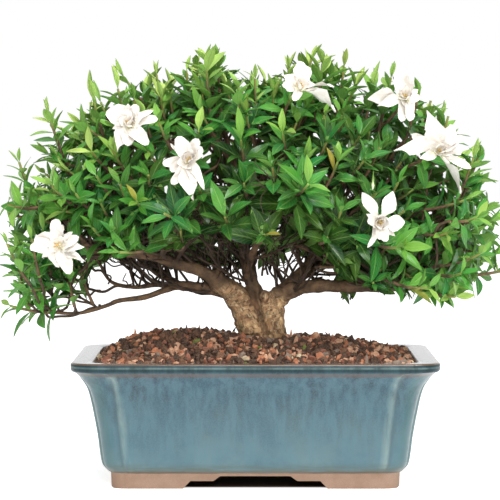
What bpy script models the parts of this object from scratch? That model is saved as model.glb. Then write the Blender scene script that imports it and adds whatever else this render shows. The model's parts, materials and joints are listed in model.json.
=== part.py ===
"""Gardenia bonsai in a glazed rectangular pot, at its real size in metres, +Z up.

The origin is the middle of the pot's footprint, on the surface that the pot stands on.
The front of the plant faces -Y. The pot is one fired piece with a rim flange, notched
corners and four stepped feet. It holds two drain screens and a mound of granules, and
the plant stands in a plain hole in the mound. Wood, leafy sprays and blooms are separate
solids that meet end to end, 0.3 mm apart.
"""

import math
import random

import bmesh
import bpy
from mathutils import Matrix, Vector

GAP = 0.0003
UP = Vector((0.0, 0.0, 1.0))

# Pot
RIM_HALF_X = 0.160
RIM_HALF_Y = 0.120
POT_HEIGHT = 0.1112
FLOOR_TOP = 0.0200
FLOOR_UNDERSIDE = 0.0122
FOOT_BAND_WIDTH = 0.014
FOOT_INSET = 0.0352
DRAIN_HOLE_RADIUS = 0.009
DRAIN_HOLE_X = 0.075
CORNER_ARC_STEPS = 4

# Outer wall from the feet up: height, inset from the rim's edge, corner size, corner notch
OUTER_WALL = (
    (0.0000, FOOT_INSET, 0.012, 0.0006),
    (0.0015, 0.0342, 0.013, 0.0006),
    (0.0130, 0.0338, 0.013, 0.0006),
    (0.0144, 0.0312, 0.020, 0.0020),
    (0.0200, 0.0276, 0.0215, 0.0034),
    (0.0300, 0.0258, 0.0220, 0.0040),
    (0.0460, 0.0238, 0.0235, 0.0044),
    (0.0630, 0.0208, 0.0250, 0.0044),
    (0.0780, 0.0178, 0.0265, 0.0044),
    (0.0880, 0.0146, 0.0275, 0.0040),
    (0.0955, 0.0108, 0.0275, 0.0028),
    (0.1000, 0.0066, 0.0265, 0.0014),
    (0.1022, 0.0026, 0.0250, 0.0008),
    (0.1052, 0.0002, 0.0240, 0.0006),
    (0.1096, 0.0002, 0.0240, 0.0006),
    (POT_HEIGHT, 0.0020, 0.0228, 0.0006),
)
# Inner wall from the rim down to the floor
INNER_WALL = (
    (0.1109, 0.0180, 0.0160, 0.0006),
    (0.1092, 0.0200, 0.0150, 0.0006),
    (0.0460, 0.0312, 0.0140, 0.0006),
    (FLOOR_TOP, 0.0345, 0.0130, 0.0006),
)
# Foot cut-outs, half of the outline: distance from the middle, height
FRONT_CUT = ((0.0640, -0.0010), (0.0565, 0.0069), (0.0365, 0.0069), (0.0305, 0.0112))
SIDE_CUT = ((0.0400, -0.0010), (0.0345, 0.0069), (0.0220, 0.0069), (0.0180, 0.0112))

# Drain screens
SCREEN_SIZE = 0.032
SCREEN_THICKNESS = 0.0010
SCREEN_SLOTS = 2

# Soil
SOIL_EDGE_HEIGHT = 0.1070
SOIL_CROWN = 0.0165
SOIL_LEFT_HEAP = 0.0085
SOIL_CELLS = (28, 20)
GRANULE_RELIEF = 0.0024

# Trunk base: the part that stands in the soil
TRUNK_FOOT_HEIGHT = 0.096
TRUNK_FOOT_SQUARENESS = 0.72
TRUNK_HOLE_CLEARANCE = 0.0004

# Wood: each limb is a line of (x, y, z, radius), from its root to its tip
LIMBS = {
    "left_stem": (
        (-0.001, 0.000, 0.104, 0.0130),
        (-0.002, 0.000, 0.128, 0.0128),
        (-0.010, -0.001, 0.150, 0.0118),
        (-0.020, -0.003, 0.166, 0.0105),
        (-0.036, -0.006, 0.177, 0.0078),
    ),
    "right_stem": (
        (0.014, 0.001, 0.104, 0.0132),
        (0.0145, 0.001, 0.128, 0.0130),
        (0.0135, 0.000, 0.150, 0.0128),
        (0.016, -0.001, 0.163, 0.0098),
    ),
    "centre_stem": (
        (0.010, 0.002, 0.146, 0.0095),
        (0.002, 0.003, 0.162, 0.0076),
        (-0.003, 0.004, 0.1735, 0.0063),
        (-0.0075, 0.005, 0.187, 0.0053),
        (-0.010, 0.005, 0.2015, 0.0047),
        (-0.012, 0.004, 0.235, 0.0037),
        (-0.0155, 0.000, 0.2575, 0.0029),
        (-0.021, -0.005, 0.2846, 0.0022),
        (-0.029, -0.010, 0.320, 0.0015),
    ),
    "upper_left_limb": (
        (-0.024, -0.004, 0.169, 0.0088),
        (-0.047, -0.014, 0.1855, 0.0055),
        (-0.068, -0.022, 0.192, 0.0048),
        (-0.086, -0.029, 0.1985, 0.0043),
        (-0.115, -0.036, 0.2035, 0.0037),
        (-0.143, -0.042, 0.2035, 0.0031),
        (-0.153, -0.044, 0.216, 0.0028),
        (-0.162, -0.046, 0.232, 0.0024),
        (-0.172, -0.048, 0.264, 0.0017),
    ),
    "lower_left_limb": (
        (-0.024, -0.002, 0.168, 0.0078),
        (-0.040, 0.002, 0.1695, 0.0056),
        (-0.068, 0.006, 0.172, 0.0043),
        (-0.078, 0.002, 0.1695, 0.0032),
        (-0.098, -0.010, 0.1627, 0.0026),
        (-0.121, -0.020, 0.160, 0.0022),
        (-0.133, -0.024, 0.1555, 0.0020),
        (-0.156, -0.030, 0.1495, 0.0017),
        (-0.176, -0.034, 0.150, 0.0014),
    ),
    "middle_left_limb": (
        (-0.066, 0.006, 0.172, 0.0038),
        (-0.087, 0.022, 0.1815, 0.0028),
        (-0.097, 0.032, 0.187, 0.0025),
        (-0.115, 0.046, 0.190, 0.0021),
        (-0.136, 0.056, 0.199, 0.0017),
    ),
    "twisted_left_limb": (
        (-0.074, 0.004, 0.171, 0.0030),
        (-0.090, 0.012, 0.1725, 0.0024),
        (-0.1095, 0.018, 0.170, 0.0020),
        (-0.130, 0.020, 0.1745, 0.0017),
        (-0.140, 0.018, 0.190, 0.0014),
    ),
    "low_right_limb": (
        (0.016, 0.000, 0.158, 0.0100),
        (0.026, -0.004, 0.1650, 0.0083),
        (0.037, -0.009, 0.170, 0.0067),
        (0.054, -0.017, 0.173, 0.0060),
        (0.081, -0.026, 0.173, 0.0054),
        (0.105, -0.033, 0.1725, 0.0044),
        (0.131, -0.038, 0.1725, 0.0033),
        (0.158, -0.038, 0.1755, 0.0024),
        (0.182, -0.034, 0.182, 0.0016),
    ),
    "upper_right_limb": (
        (0.019, 0.003, 0.163, 0.0068),
        (0.031, 0.009, 0.1745, 0.0053),
        (0.0405, 0.016, 0.183, 0.0047),
        (0.0495, 0.023, 0.1935, 0.0042),
        (0.0585, 0.029, 0.207, 0.0037),
        (0.0675, 0.034, 0.226, 0.0031),
        (0.078, 0.038, 0.253, 0.0025),
        (0.090, 0.040, 0.290, 0.0018),
    ),
    "back_limb": (
        (-0.003, 0.005, 0.176, 0.0050),
        (-0.004, 0.024, 0.188, 0.0043),
        (-0.012, 0.050, 0.206, 0.0036),
        (-0.020, 0.076, 0.232, 0.0028),
        (-0.024, 0.092, 0.262, 0.0019),
    ),
    "front_limb": (
        (-0.008, 0.004, 0.188, 0.0042),
        (-0.002, -0.016, 0.203, 0.0034),
        (0.004, -0.044, 0.219, 0.0028),
        (0.008, -0.070, 0.240, 0.0022),
        (0.012, -0.086, 0.262, 0.0016),
    ),
    "back_right_limb": (
        (0.020, 0.004, 0.164, 0.0058),
        (0.042, 0.028, 0.179, 0.0043),
        (0.070, 0.056, 0.197, 0.0034),
        (0.100, 0.076, 0.220, 0.0026),
        (0.122, 0.086, 0.246, 0.0018),
    ),
    "back_left_limb": (
        (-0.022, 0.002, 0.170, 0.0055),
        (-0.046, 0.026, 0.183, 0.0042),
        (-0.078, 0.054, 0.200, 0.0033),
        (-0.108, 0.074, 0.220, 0.0025),
        (-0.130, 0.084, 0.246, 0.0018),
    ),
}
LIMB_SIDES = {"left_stem": 10, "right_stem": 10, "centre_stem": 8}
FEWEST_SIDES = 6
BRANCH_SIDES = 4
BRANCH_STEPS = 3
BRANCH_ROOT_RADIUS = 0.0024
TWIG_RADIUS = 0.0013

# Canopy: a flattened dome, flatter below its widest level than above it
CANOPY_CENTRE = Vector((-0.0025, 0.0, 0.222))
CANOPY_REACH = (0.2275, 0.150, 0.166)
CANOPY_REACH_DOWN = 0.060
CANOPY_POWER = 2.35
SPRAYS_BY_RULE = 45
SPRAY_DEPTH = 0.70
CLEAR_OF_PLACED = 0.050
SPRAY_LENGTH = (0.036, 0.046)

# Sprays set by hand where the canopy hangs lower: root, direction
LOW_SPRAYS = (
    ((-0.178, -0.034, 0.150), (-0.75, -0.25, 0.05)),
    ((-0.168, -0.040, 0.178), (-0.65, -0.60, -0.25)),
    ((-0.152, 0.024, 0.188), (-0.85, 0.40, -0.10)),
    ((0.150, -0.058, 0.170), (0.55, -0.75, -0.12)),
    ((0.184, -0.034, 0.183), (0.90, -0.25, 0.05)),
    ((0.098, -0.062, 0.176), (0.15, -0.95, 0.05)),
    ((0.150, 0.028, 0.182), (0.85, 0.50, -0.10)),
    ((0.004, -0.086, 0.214), (0.05, -0.98, 0.10)),
)

# Blooms: middle of the open face, direction that it looks in, size
BLOOMS = (
    ((-0.1126, -0.104, 0.3215), (-0.20, -0.92, 0.32), 0.96),
    ((-0.0580, -0.128, 0.2894), (-0.05, -0.98, 0.10), 1.06),
    ((0.0436, -0.085, 0.3514), (0.60, -0.60, 0.50), 0.96),
    ((0.1316, -0.066, 0.3438), (0.12, -0.92, 0.36), 1.04),
    ((0.1594, -0.086, 0.2952), (0.30, -0.90, 0.22), 1.30),
    ((0.1087, -0.122, 0.2332), (0.05, -0.99, -0.05), 1.04),
    ((-0.1718, -0.092, 0.2130), (-0.30, -0.94, 0.12), 1.10),
    ((-0.0800, 0.108, 0.3020), (-0.20, 0.92, 0.34), 1.00),
    ((0.0900, 0.112, 0.2720), (0.25, 0.95, 0.20), 1.04),
)
BLOOM_TUBE_LENGTH = 0.013
BLOOM_TUBE_RADIUS = 0.0017
BLOOM_STALK = 0.034
CALYX_LENGTH = 0.0055
CALYX_RADIUS = 0.0030
# Petal layers from the outside in: height above the tube's top, radius of the ring that
# the petals grow from, length, half width, angle from the bloom's axis
PETAL_LAYERS = (
    (0.0000, 0.0034, 0.0188, 0.0068, 84.0),
    (0.0024, 0.0027, 0.0152, 0.0043, 44.0),
)
PETALS_A_LAYER = 6
PETAL_ROOT_HEIGHT = 0.0013
PETAL_THICKNESS = 0.0009
# Outlines by layer: share of the length, share of the half width
PETAL_SECTIONS = (((0.38, 0.70), (0.74, 1.0)), ((0.64, 1.0),))

# Leaves: whorls of three along a spray: share of its length, leaf length, angle from the stem
WHORLS = ((0.20, 0.032, 74.0), (0.41, 0.034, 68.0), (0.61, 0.032, 61.0),
          (0.79, 0.028, 52.0), (0.95, 0.024, 38.0))
BLOOM_SPRAY_WHORLS = ((0.14, 0.033, 78.0), (0.36, 0.032, 76.0), (0.58, 0.028, 74.0))
STEM_RADIUS = (0.0018, 0.0014)
LEAF_ROOT_HEIGHT = 0.0013
LEAF_WIDTH_SHARE = 0.196
LEAF_THICKNESS = 0.0008
LEAF_SECTIONS = ((0.44, 1.0),)
LEAF_CLEARANCE = 0.0028
LEAF_SPACING = 0.0026
WOOD_CLEARANCE = 0.0028
BLOOM_KEEP_OUT = 0.0255


def clear_scene():
    for obj in list(bpy.data.objects):
        bpy.data.objects.remove(obj)


def material(name, colour, roughness, coat=0.0):
    made = bpy.data.materials.new(name)
    made.use_nodes = True
    shader = made.node_tree.nodes["Principled BSDF"]
    shader.inputs["Base Color"].default_value = (*colour, 1.0)
    shader.inputs["Roughness"].default_value = roughness
    shader.inputs["Metallic"].default_value = 0.0
    shader.inputs["Coat Weight"].default_value = coat
    return made


def object_from(mesh_data, name, finish, smooth_angle=None):
    """Makes one object of a bmesh, with its faces turned outwards."""
    bmesh.ops.recalc_face_normals(mesh_data, faces=mesh_data.faces)
    mesh = bpy.data.meshes.new(name)
    mesh_data.to_mesh(mesh)
    mesh_data.free()
    if finish is not None:
        mesh.materials.append(finish)
    if smooth_angle is not None:
        mesh.shade_smooth()
        mesh.set_sharp_from_angle(angle=math.radians(smooth_angle))
    obj = bpy.data.objects.new(name, mesh)
    bpy.context.scene.collection.objects.link(obj)
    return obj


def apply_boolean(obj, others, operation, solver="MANIFOLD"):
    """Joins or cuts obj with all the others at once, applies it and removes the others."""
    group = bpy.data.collections.new(obj.name + "_tools")
    bpy.context.scene.collection.children.link(group)
    for other in others:
        bpy.context.scene.collection.objects.unlink(other)
        group.objects.link(other)
    modifier = obj.modifiers.new(operation.lower(), "BOOLEAN")
    modifier.operation = operation
    modifier.operand_type = "COLLECTION"
    modifier.collection = group
    modifier.solver = solver
    bpy.context.view_layer.update()
    graph = bpy.context.evaluated_depsgraph_get()
    result = bpy.data.meshes.new_from_object(obj.evaluated_get(graph))
    obj.modifiers.remove(modifier)
    obj.data = result
    for other in others:
        bpy.data.objects.remove(other)
    bpy.data.collections.remove(group)


def loft(rings, close_ends=True):
    """A bmesh skinned over rings that all hold the same number of points."""
    made = bmesh.new()
    rows = [[made.verts.new(point) for point in ring] for ring in rings]
    count = len(rows[0])
    for low, high in zip(rows, rows[1:]):
        for i in range(count):
            j = (i + 1) % count
            made.faces.new((low[i], low[j], high[j], high[i]))
    if close_ends:
        made.faces.new(rows[0])
        made.faces.new(rows[-1])
    return made


def prism(points, direction):
    """A closed bmesh: a flat outline pushed along a direction."""
    made = bmesh.new()
    near = made.faces.new([made.verts.new(point) for point in points])
    pushed = bmesh.ops.extrude_face_region(made, geom=[near])["geom"]
    verts = [item for item in pushed if isinstance(item, bmesh.types.BMVert)]
    bmesh.ops.translate(made, verts=verts, vec=direction)
    return made


def pot_ring(height, inset, corner, notch, steps=CORNER_ARC_STEPS):
    """One level of the pot: straight panels whose round corners are set in by a notch."""
    half_x = RIM_HALF_X - inset
    half_y = RIM_HALF_Y - inset
    radius = corner - 2.2 * notch
    centre_x = half_x - notch - radius
    centre_y = half_y - notch - radius
    quarter = [(half_x, half_y - corner)]
    for step in range(steps + 1):
        angle = 0.5 * math.pi * step / steps
        quarter.append((centre_x + radius * math.cos(angle), centre_y + radius * math.sin(angle)))
    quarter.append((half_x - corner, half_y))
    points = list(quarter)
    points += [(-x, y) for x, y in reversed(quarter)]
    points += [(-x, -y) for x, y in quarter]
    points += [(x, -y) for x, y in reversed(quarter)]
    return [Vector((x, y, height)) for x, y in points]


def cut_outline(half_profile, along_x, reach):
    """The stepped gap between two feet, as a prism that runs right through the pot."""
    outline = list(half_profile) + [(-across, height) for across, height in reversed(half_profile)]
    if along_x:
        points = [Vector((-reach, across, height)) for across, height in outline]
        return prism(points, Vector((2 * reach, 0, 0)))
    points = [Vector((across, -reach, height)) for across, height in outline]
    return prism(points, Vector((0, 2 * reach, 0)))


def build_pot(glaze):
    rings = [pot_ring(*level) for level in OUTER_WALL + INNER_WALL]
    pot = object_from(loft(rings), "pot", glaze)
    recess_inset = FOOT_INSET + FOOT_BAND_WIDTH
    recess = [pot_ring(z, recess_inset, 0.010, 0.0006) for z in (-0.001, FLOOR_UNDERSIDE)]
    cutters = [object_from(loft(recess), "recess", None)]
    cutters.append(object_from(cut_outline(FRONT_CUT, False, RIM_HALF_Y), "front_cut", None))
    cutters.append(object_from(cut_outline(SIDE_CUT, True, RIM_HALF_X), "side_cut", None))
    apply_boolean(pot, cutters, "DIFFERENCE")
    holes = []
    for side in (-1, 1):
        hole = bmesh.new()
        bmesh.ops.create_cone(
            hole, cap_ends=True, segments=16, radius1=DRAIN_HOLE_RADIUS,
            radius2=DRAIN_HOLE_RADIUS, depth=0.03,
            matrix=Matrix.Translation((side * DRAIN_HOLE_X, 0, FLOOR_UNDERSIDE)))
        holes.append(object_from(hole, "drain_hole", None))
    apply_boolean(pot, holes, "DIFFERENCE")
    pot.data.shade_smooth()
    pot.data.set_sharp_from_angle(angle=math.radians(35))


def build_drain_screens(plastic):
    """A slotted square over each drain hole, made of cells with the slots left out."""
    columns = 2 * SCREEN_SLOTS + 1
    edges_x = [SCREEN_SIZE * (i / columns - 0.5) for i in range(columns + 1)]
    edges_y = [SCREEN_SIZE * share for share in (-0.5, -0.36, 0.36, 0.5)]
    for name, side in (("drain_screen_left", -1), ("drain_screen_right", 1)):
        made = bmesh.new()
        grid = [[made.verts.new((x, y, 0)) for x in edges_x] for y in edges_y]
        for j in range(3):
            for i in range(columns):
                if j == 1 and i % 2 == 1:
                    continue
                made.faces.new((grid[j][i], grid[j][i + 1], grid[j + 1][i + 1], grid[j + 1][i]))
        pushed = bmesh.ops.extrude_face_region(made, geom=made.faces[:])["geom"]
        verts = [item for item in pushed if isinstance(item, bmesh.types.BMVert)]
        bmesh.ops.translate(made, verts=verts, vec=(0, 0, SCREEN_THICKNESS))
        screen = object_from(made, name, plastic)
        screen.location = (side * DRAIN_HOLE_X, 0, FLOOR_TOP + GAP)


def soil_height(x, y):
    """Height of the granules: a crown that falls to the rim, with a heap left of the trunk."""
    across = min(1.0, abs(x) / (RIM_HALF_X - 0.020))
    along = min(1.0, abs(y) / (RIM_HALF_Y - 0.020))
    dome = (1 - across ** 2.6) * (1 - along ** 2.4)
    heap = math.exp(-((x + 0.062) / 0.042) ** 2 - (y / 0.055) ** 2)
    return SOIL_EDGE_HEIGHT + SOIL_CROWN * dome + SOIL_LEFT_HEAP * heap


def inner_wall_at(height):
    """The inner wall's level at a height, a gap inside it."""
    for (z1, inset1, corner1, notch), (z0, inset0, corner0, _) in zip(INNER_WALL, INNER_WALL[1:]):
        if z0 <= height <= z1:
            share = (height - z0) / (z1 - z0)
            inset = inset0 + (inset1 - inset0) * share + GAP + 0.0001
            return height, inset, corner0 + (corner1 - corner0) * share, notch
    raise ValueError("no inner wall at that height")


def soil_grid(height):
    """Points of one level of the soil: a grid drawn in to the pot's outline at its edges."""
    level = inner_wall_at(height)
    outline = [point.to_2d() for point in pot_ring(*level)]
    half = Vector((RIM_HALF_X - level[1], RIM_HALF_Y - level[1]))
    cells_x, cells_y = SOIL_CELLS
    rows = []
    for j in range(cells_y + 1):
        rows.append([])
        for i in range(cells_x + 1):
            u, v = 2 * i / cells_x - 1, 2 * j / cells_y - 1
            point = Vector((u * half.x, v * half.y))
            square = max(abs(u), abs(v))
            rows[-1].append(point * min(1.0, square * times_to_outline(point, outline)))
    return rows


def times_to_outline(point, outline):
    """How many times as far out as a point the outline lies."""
    for a, b in zip(outline, outline[1:] + outline[:1]):
        along = b - a
        across = point.cross(along)
        if abs(across) > 1e-12:
            times, share = a.cross(along) / across, a.cross(point) / across
            if times > 0 and -1e-6 <= share <= 1 + 1e-6:
                return times
    return 1.0


def build_soil(granules):
    made = bmesh.new()
    chance = random.Random(31)
    cells_x, cells_y = SOIL_CELLS
    around = [(i, 0) for i in range(cells_x)]
    around += [(cells_x, j) for j in range(cells_y)]
    around += [(i, cells_y) for i in range(cells_x, 0, -1)]
    around += [(0, j) for j in range(cells_y, 0, -1)]
    edge_height = SOIL_EDGE_HEIGHT - 0.001
    top = []
    for j, row in enumerate(soil_grid(edge_height)):
        top.append([])
        for i, point in enumerate(row):
            inside = 0 < i < cells_x and 0 < j < cells_y
            relief = GRANULE_RELIEF * chance.uniform(-1, 1)
            height = soil_height(point.x, point.y) + relief if inside else edge_height
            top[-1].append(made.verts.new((point.x, point.y, height)))
    for j in range(cells_y):
        for i in range(cells_x):
            a, b, c, d = top[j][i], top[j][i + 1], top[j + 1][i + 1], top[j + 1][i]
            pair = ((a, b, c), (a, c, d)) if (i + j) % 2 else ((a, b, d), (b, c, d))
            for triangle in pair:
                made.faces.new(triangle)
    high = [top[j][i] for i, j in around]
    for height in (0.0460, FLOOR_TOP + GAP):
        grid = soil_grid(height)
        low = [made.verts.new((*grid[j][i], height)) for i, j in around]
        for k in range(len(around)):
            n = (k + 1) % len(around)
            made.faces.new((high[k], low[k], low[n], high[n]))
        high = low
    made.faces.new(high)
    soil = object_from(made, "soil", granules)
    pockets = [trunk_hole()]
    for side in (-1, 1):
        half = 0.5 * SCREEN_SIZE + GAP
        low, high = FLOOR_TOP - 0.001, FLOOR_TOP + SCREEN_THICKNESS + 2 * GAP
        corners = [(side * DRAIN_HOLE_X + i * half, j * half, low)
                   for i, j in ((-1, -1), (1, -1), (1, 1), (-1, 1))]
        pocket = prism([Vector(corner) for corner in corners], Vector((0, 0, high - low)))
        pockets.append(object_from(pocket, "pocket", None))
    apply_boolean(soil, pockets, "DIFFERENCE")


def smooth_line(points, steps):
    """A Catmull-Rom line through (position, radius) stations."""
    fours = [Vector(point) for point in points]
    ends = [2 * fours[0] - fours[1]] + fours + [2 * fours[-1] - fours[-2]]
    line = []
    for i in range(1, len(ends) - 2):
        a, b, c, d = ends[i - 1:i + 3]
        for step in range(steps):
            t = step / steps
            line.append(0.5 * ((2 * b) + (c - a) * t + (2 * a - 5 * b + 4 * c - d) * t * t
                               + (3 * b - a - 3 * c + d) * t ** 3))
    line.append(fours[-1])
    return [(Vector(four[:3]), four[3]) for four in line]


def turned_frames(line, first_way=None, last_way=None):
    """A right-handed pair of axes across each station, turned as little as possible."""
    tangents = []
    for i in range(len(line)):
        a = line[max(0, i - 1)][0]
        b = line[min(len(line) - 1, i + 1)][0]
        tangents.append((b - a).normalized())
    tangents[0] = first_way or tangents[0]
    tangents[-1] = last_way or tangents[-1]
    side = tangents[0].orthogonal().normalized()
    frames = []
    for i, tangent in enumerate(tangents):
        if i:
            side = tangents[i - 1].rotation_difference(tangent) @ side
        side = (side - side.dot(tangent) * tangent).normalized()
        frames.append((side, tangent.cross(side)))
    return frames


def tube(line, sides, name, last_way=None):
    rings = []
    for (centre, radius), (side, other) in zip(line, turned_frames(line, None, last_way)):
        ring = []
        for i in range(sides):
            angle = math.tau * i / sides
            ring.append(centre + radius * (math.cos(angle) * side + math.sin(angle) * other))
        rings.append(ring)
    return object_from(loft(rings), name, None)


def trunk_foot_outline(spare, height):
    """The trunk's section at the soil: one oval round both fused stems."""
    left, right = LIMBS["left_stem"][1], LIMBS["right_stem"][1]
    centre_x = 0.5 * (left[0] - left[3] + right[0] + right[3])
    half_x = 0.5 * (right[0] + right[3] - left[0] + left[3]) + 0.0008 + spare
    half_y = max(left[3], right[3]) + 0.0012 + spare
    count = 20
    points = []
    for i in range(count):
        across, along = math.cos(math.tau * i / count), math.sin(math.tau * i / count)
        points.append(Vector((
            centre_x + half_x * math.copysign(abs(across) ** TRUNK_FOOT_SQUARENESS, across),
            half_y * math.copysign(abs(along) ** TRUNK_FOOT_SQUARENESS, along), height)))
    return points


def trunk_hole():
    depth = TRUNK_FOOT_HEIGHT - GAP
    rings = [trunk_foot_outline(TRUNK_HOLE_CLEARANCE, z) for z in (depth, POT_HEIGHT + 0.05)]
    return object_from(loft(rings), "trunk_hole", None)


def dome_point(direction, depth):
    """The point in that direction at a share of the way from the canopy's middle to its skin."""
    down = CANOPY_REACH_DOWN if direction.z < 0 else CANOPY_REACH[2]
    total = sum(abs(value) ** CANOPY_POWER for value in direction) ** (1 / CANOPY_POWER)
    scaled = Vector((direction.x * CANOPY_REACH[0], direction.y * CANOPY_REACH[1],
                     direction.z * down))
    return CANOPY_CENTRE + scaled * (depth / total)


def dome_directions(count, lowest=-0.42):
    """Directions spread evenly over the dome by the golden angle."""
    golden = math.pi * (3 - math.sqrt(5))
    for i in range(count):
        z = 0.985 - (0.985 - lowest) * (i + 0.5) / count
        level = math.sqrt(1 - z * z)
        yield Vector((level * math.cos(golden * i), level * math.sin(golden * i), z))


def curve_between(start, start_way, end, end_way, steps):
    """Points on a cubic curve that leaves and arrives in the given directions."""
    pull = (end - start).length * 0.38
    a, b = start + start_way * pull, end - end_way * pull
    points = []
    for step in range(steps + 1):
        t = step / steps
        points.append(start * (1 - t) ** 3 + a * 3 * t * (1 - t) ** 2
                      + b * 3 * t * t * (1 - t) + end * t ** 3)
    return points


def plan_sprays():
    """Each spray as its stem's points, and the number of the bloom that it carries or None."""
    chance = random.Random(11)
    stems = []
    for number, (face, way, _) in enumerate(BLOOMS):
        face, way = Vector(face), Vector(way).normalized()
        calyx_tip = face - way * (BLOOM_TUBE_LENGTH + GAP)
        inward = (CANOPY_CENTRE + Vector((0.3 * face.x, 0, 0.02)) - calyx_tip).normalized()
        root = calyx_tip - way * (0.55 * BLOOM_STALK) + inward * (0.45 * BLOOM_STALK)
        stems.append((curve_between(root, (way - inward).normalized(), calyx_tip, way, 4), number))
    for root, way in LOW_SPRAYS:
        stems.append((stem_from(Vector(root), Vector(way).normalized(), chance), None))
    for direction in dome_directions(SPRAYS_BY_RULE):
        root = dome_point(direction, SPRAY_DEPTH)
        tip = dome_point(direction, 0.90)
        if any((tip - line[-1]).length < CLEAR_OF_PLACED for line, _ in stems):
            continue
        way = (dome_point(direction, 1.0) - root).normalized()
        stems.append((stem_from(root, way, chance), None))
    return stems


def stem_from(root, way, chance):
    """A stem that starts outwards and turns a little up to the light."""
    length = chance.uniform(*SPRAY_LENGTH)
    sideways = Vector([chance.uniform(-0.12, 0.12) for _ in range(3)])
    end_way = (way + 0.22 * UP + sideways).normalized()
    end = root + (way + end_way).normalized() * length
    return curve_between(root, way, end, end_way, 4)


def plan_branches(stems):
    """Joins each spray's root to the nearest wood, nearest sprays first, so that they fork."""
    wood = []
    for line in LIMBS.values():
        smooth = smooth_line(line, 3)
        for i, (point, radius) in enumerate(smooth):
            before = smooth[max(0, i - 1)][0]
            after = smooth[min(len(smooth) - 1, i + 1)][0]
            wood.append((point, radius, (after - before).normalized()))
    fork = Vector((0.0, 0.0, 0.17))
    branches = []
    for index in sorted(range(len(stems)), key=lambda i: (stems[i][0][0] - fork).length):
        root = stems[index][0][0]
        way = (stems[index][0][1] - root).normalized()
        best = None
        for point, radius, along in wood:
            reach = root - point
            if point.z < 0.175 or radius < 0.0014 or reach.length < 0.012:
                continue
            cost = reach.length * (1.55 - 0.55 * along.dot(reach.normalized()))
            if best is None or cost < best[0]:
                best = (cost, point, radius, along)
        _, start, radius, along = best
        leave = (along + (root - start).normalized()).normalized()
        end = root - way * GAP
        points = curve_between(start, leave, end, way, BRANCH_STEPS)
        thick = min(0.72 * radius, BRANCH_ROOT_RADIUS)
        line = []
        for step, point in enumerate(points):
            line.append((point, thick + (TWIG_RADIUS - thick) * step / BRANCH_STEPS))
        branches.append((line, way))
        for step in range(1, BRANCH_STEPS):
            heading = (points[step + 1] - points[step - 1]).normalized()
            wood.append((points[step], line[step][1], heading))
    return branches


def build_trunk(branches, bark):
    rings = [trunk_foot_outline(0.0, z) for z in (TRUNK_FOOT_HEIGHT, 0.118, 0.125)]
    rings += [[Vector((p.x * 0.93 + 0.0004, p.y * 0.93, z)) for p in trunk_foot_outline(-0.0012, z)]
              for z in (0.131,)]
    trunk = object_from(loft(rings), "trunk_and_limbs", bark)
    parts = []
    for name, line in LIMBS.items():
        smooth = smooth_line(line, 1)
        parts.append(tube(smooth, LIMB_SIDES.get(name, FEWEST_SIDES), name))
    for number, (line, end_way) in enumerate(branches):
        parts.append(tube(line, BRANCH_SIDES, f"branch_{number}", end_way))
    apply_boolean(trunk, parts, "UNION")
    trunk.data.shade_smooth()
    trunk.data.set_sharp_from_angle(angle=math.radians(50))


def blade(root, way, face, bend, length, half_width, sections, thickness):
    """A leaf or petal beyond its root: rings of four points along its rib, and its tip.

    face is the way that its upper side looks, bend how far the rib curves off its straight.
    """
    across = face.cross(way).normalized()
    face = way.cross(across).normalized()
    rings = []
    for t, share in sections:
        centre = root + way * (length * t) + bend * (length * t * t)
        wide, half = across * (half_width * share), face * (0.5 * thickness)
        rings.append([centre - wide - half, centre + wide - half,
                      centre + wide + half, centre - wide + half])
    return rings, root + (way + bend) * length


def grow_blade(made, corners, rings, tip):
    """Skins a blade onto four corners of the stem, and closes it at its tip."""
    low = corners
    for ring in rings:
        high = [made.verts.new(point) for point in ring]
        # Upper and lower side are split along the same diagonal, so that they can't cross
        for i, k, swapped in ((0, 1, False), (1, 2, False), (2, 3, True), (3, 0, False)):
            if swapped:
                triangles = (low[i], low[k], high[i]), (low[k], high[k], high[i])
            else:
                triangles = (low[i], low[k], high[k]), (low[i], high[k], high[i])
            for triangle in triangles:
                made.faces.new(triangle)
        low = high
    end = made.verts.new(tip)
    for i in range(len(low)):
        made.faces.new((low[i], low[(i + 1) % len(low)], end))


def ring_of_verts(made, centre, frame, radius, turn, count):
    side, other = frame
    angles = [turn + math.tau * i / count for i in range(count)]
    return [made.verts.new(centre + radius * (math.cos(a) * side + math.sin(a) * other))
            for a in angles]


def join_rings(made, low, high):
    for i in range(len(low)):
        k = (i + 1) % len(low)
        made.faces.new((low[i], low[k], high[i]))
        made.faces.new((low[k], high[k], high[i]))


def test_points(rings, tip):
    """Points all over a blade, close enough to see whether it nears something."""
    points = [tip]
    for i, k in ((0, 0), (1, 1), (0, 1)):
        line = [0.5 * (ring[i] + ring[k]) for ring in rings] + [tip]
        for a, b in zip(line, line[1:]):
            points += [a.lerp(b, share) for share in (0.0, 0.25, 0.5, 0.75)]
    inner = 0.25 * sum(rings[0], Vector((0, 0, 0)))
    return points + [inner.lerp(tip, -0.3)]


def distance_to_line(point, line):
    best = 1.0
    for a, b in zip(line, line[1:]):
        along = b - a
        t = max(0.0, min(1.0, (point - a).dot(along) / along.length_squared))
        best = min(best, (point - (a + along * t)).length)
    return best


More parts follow.
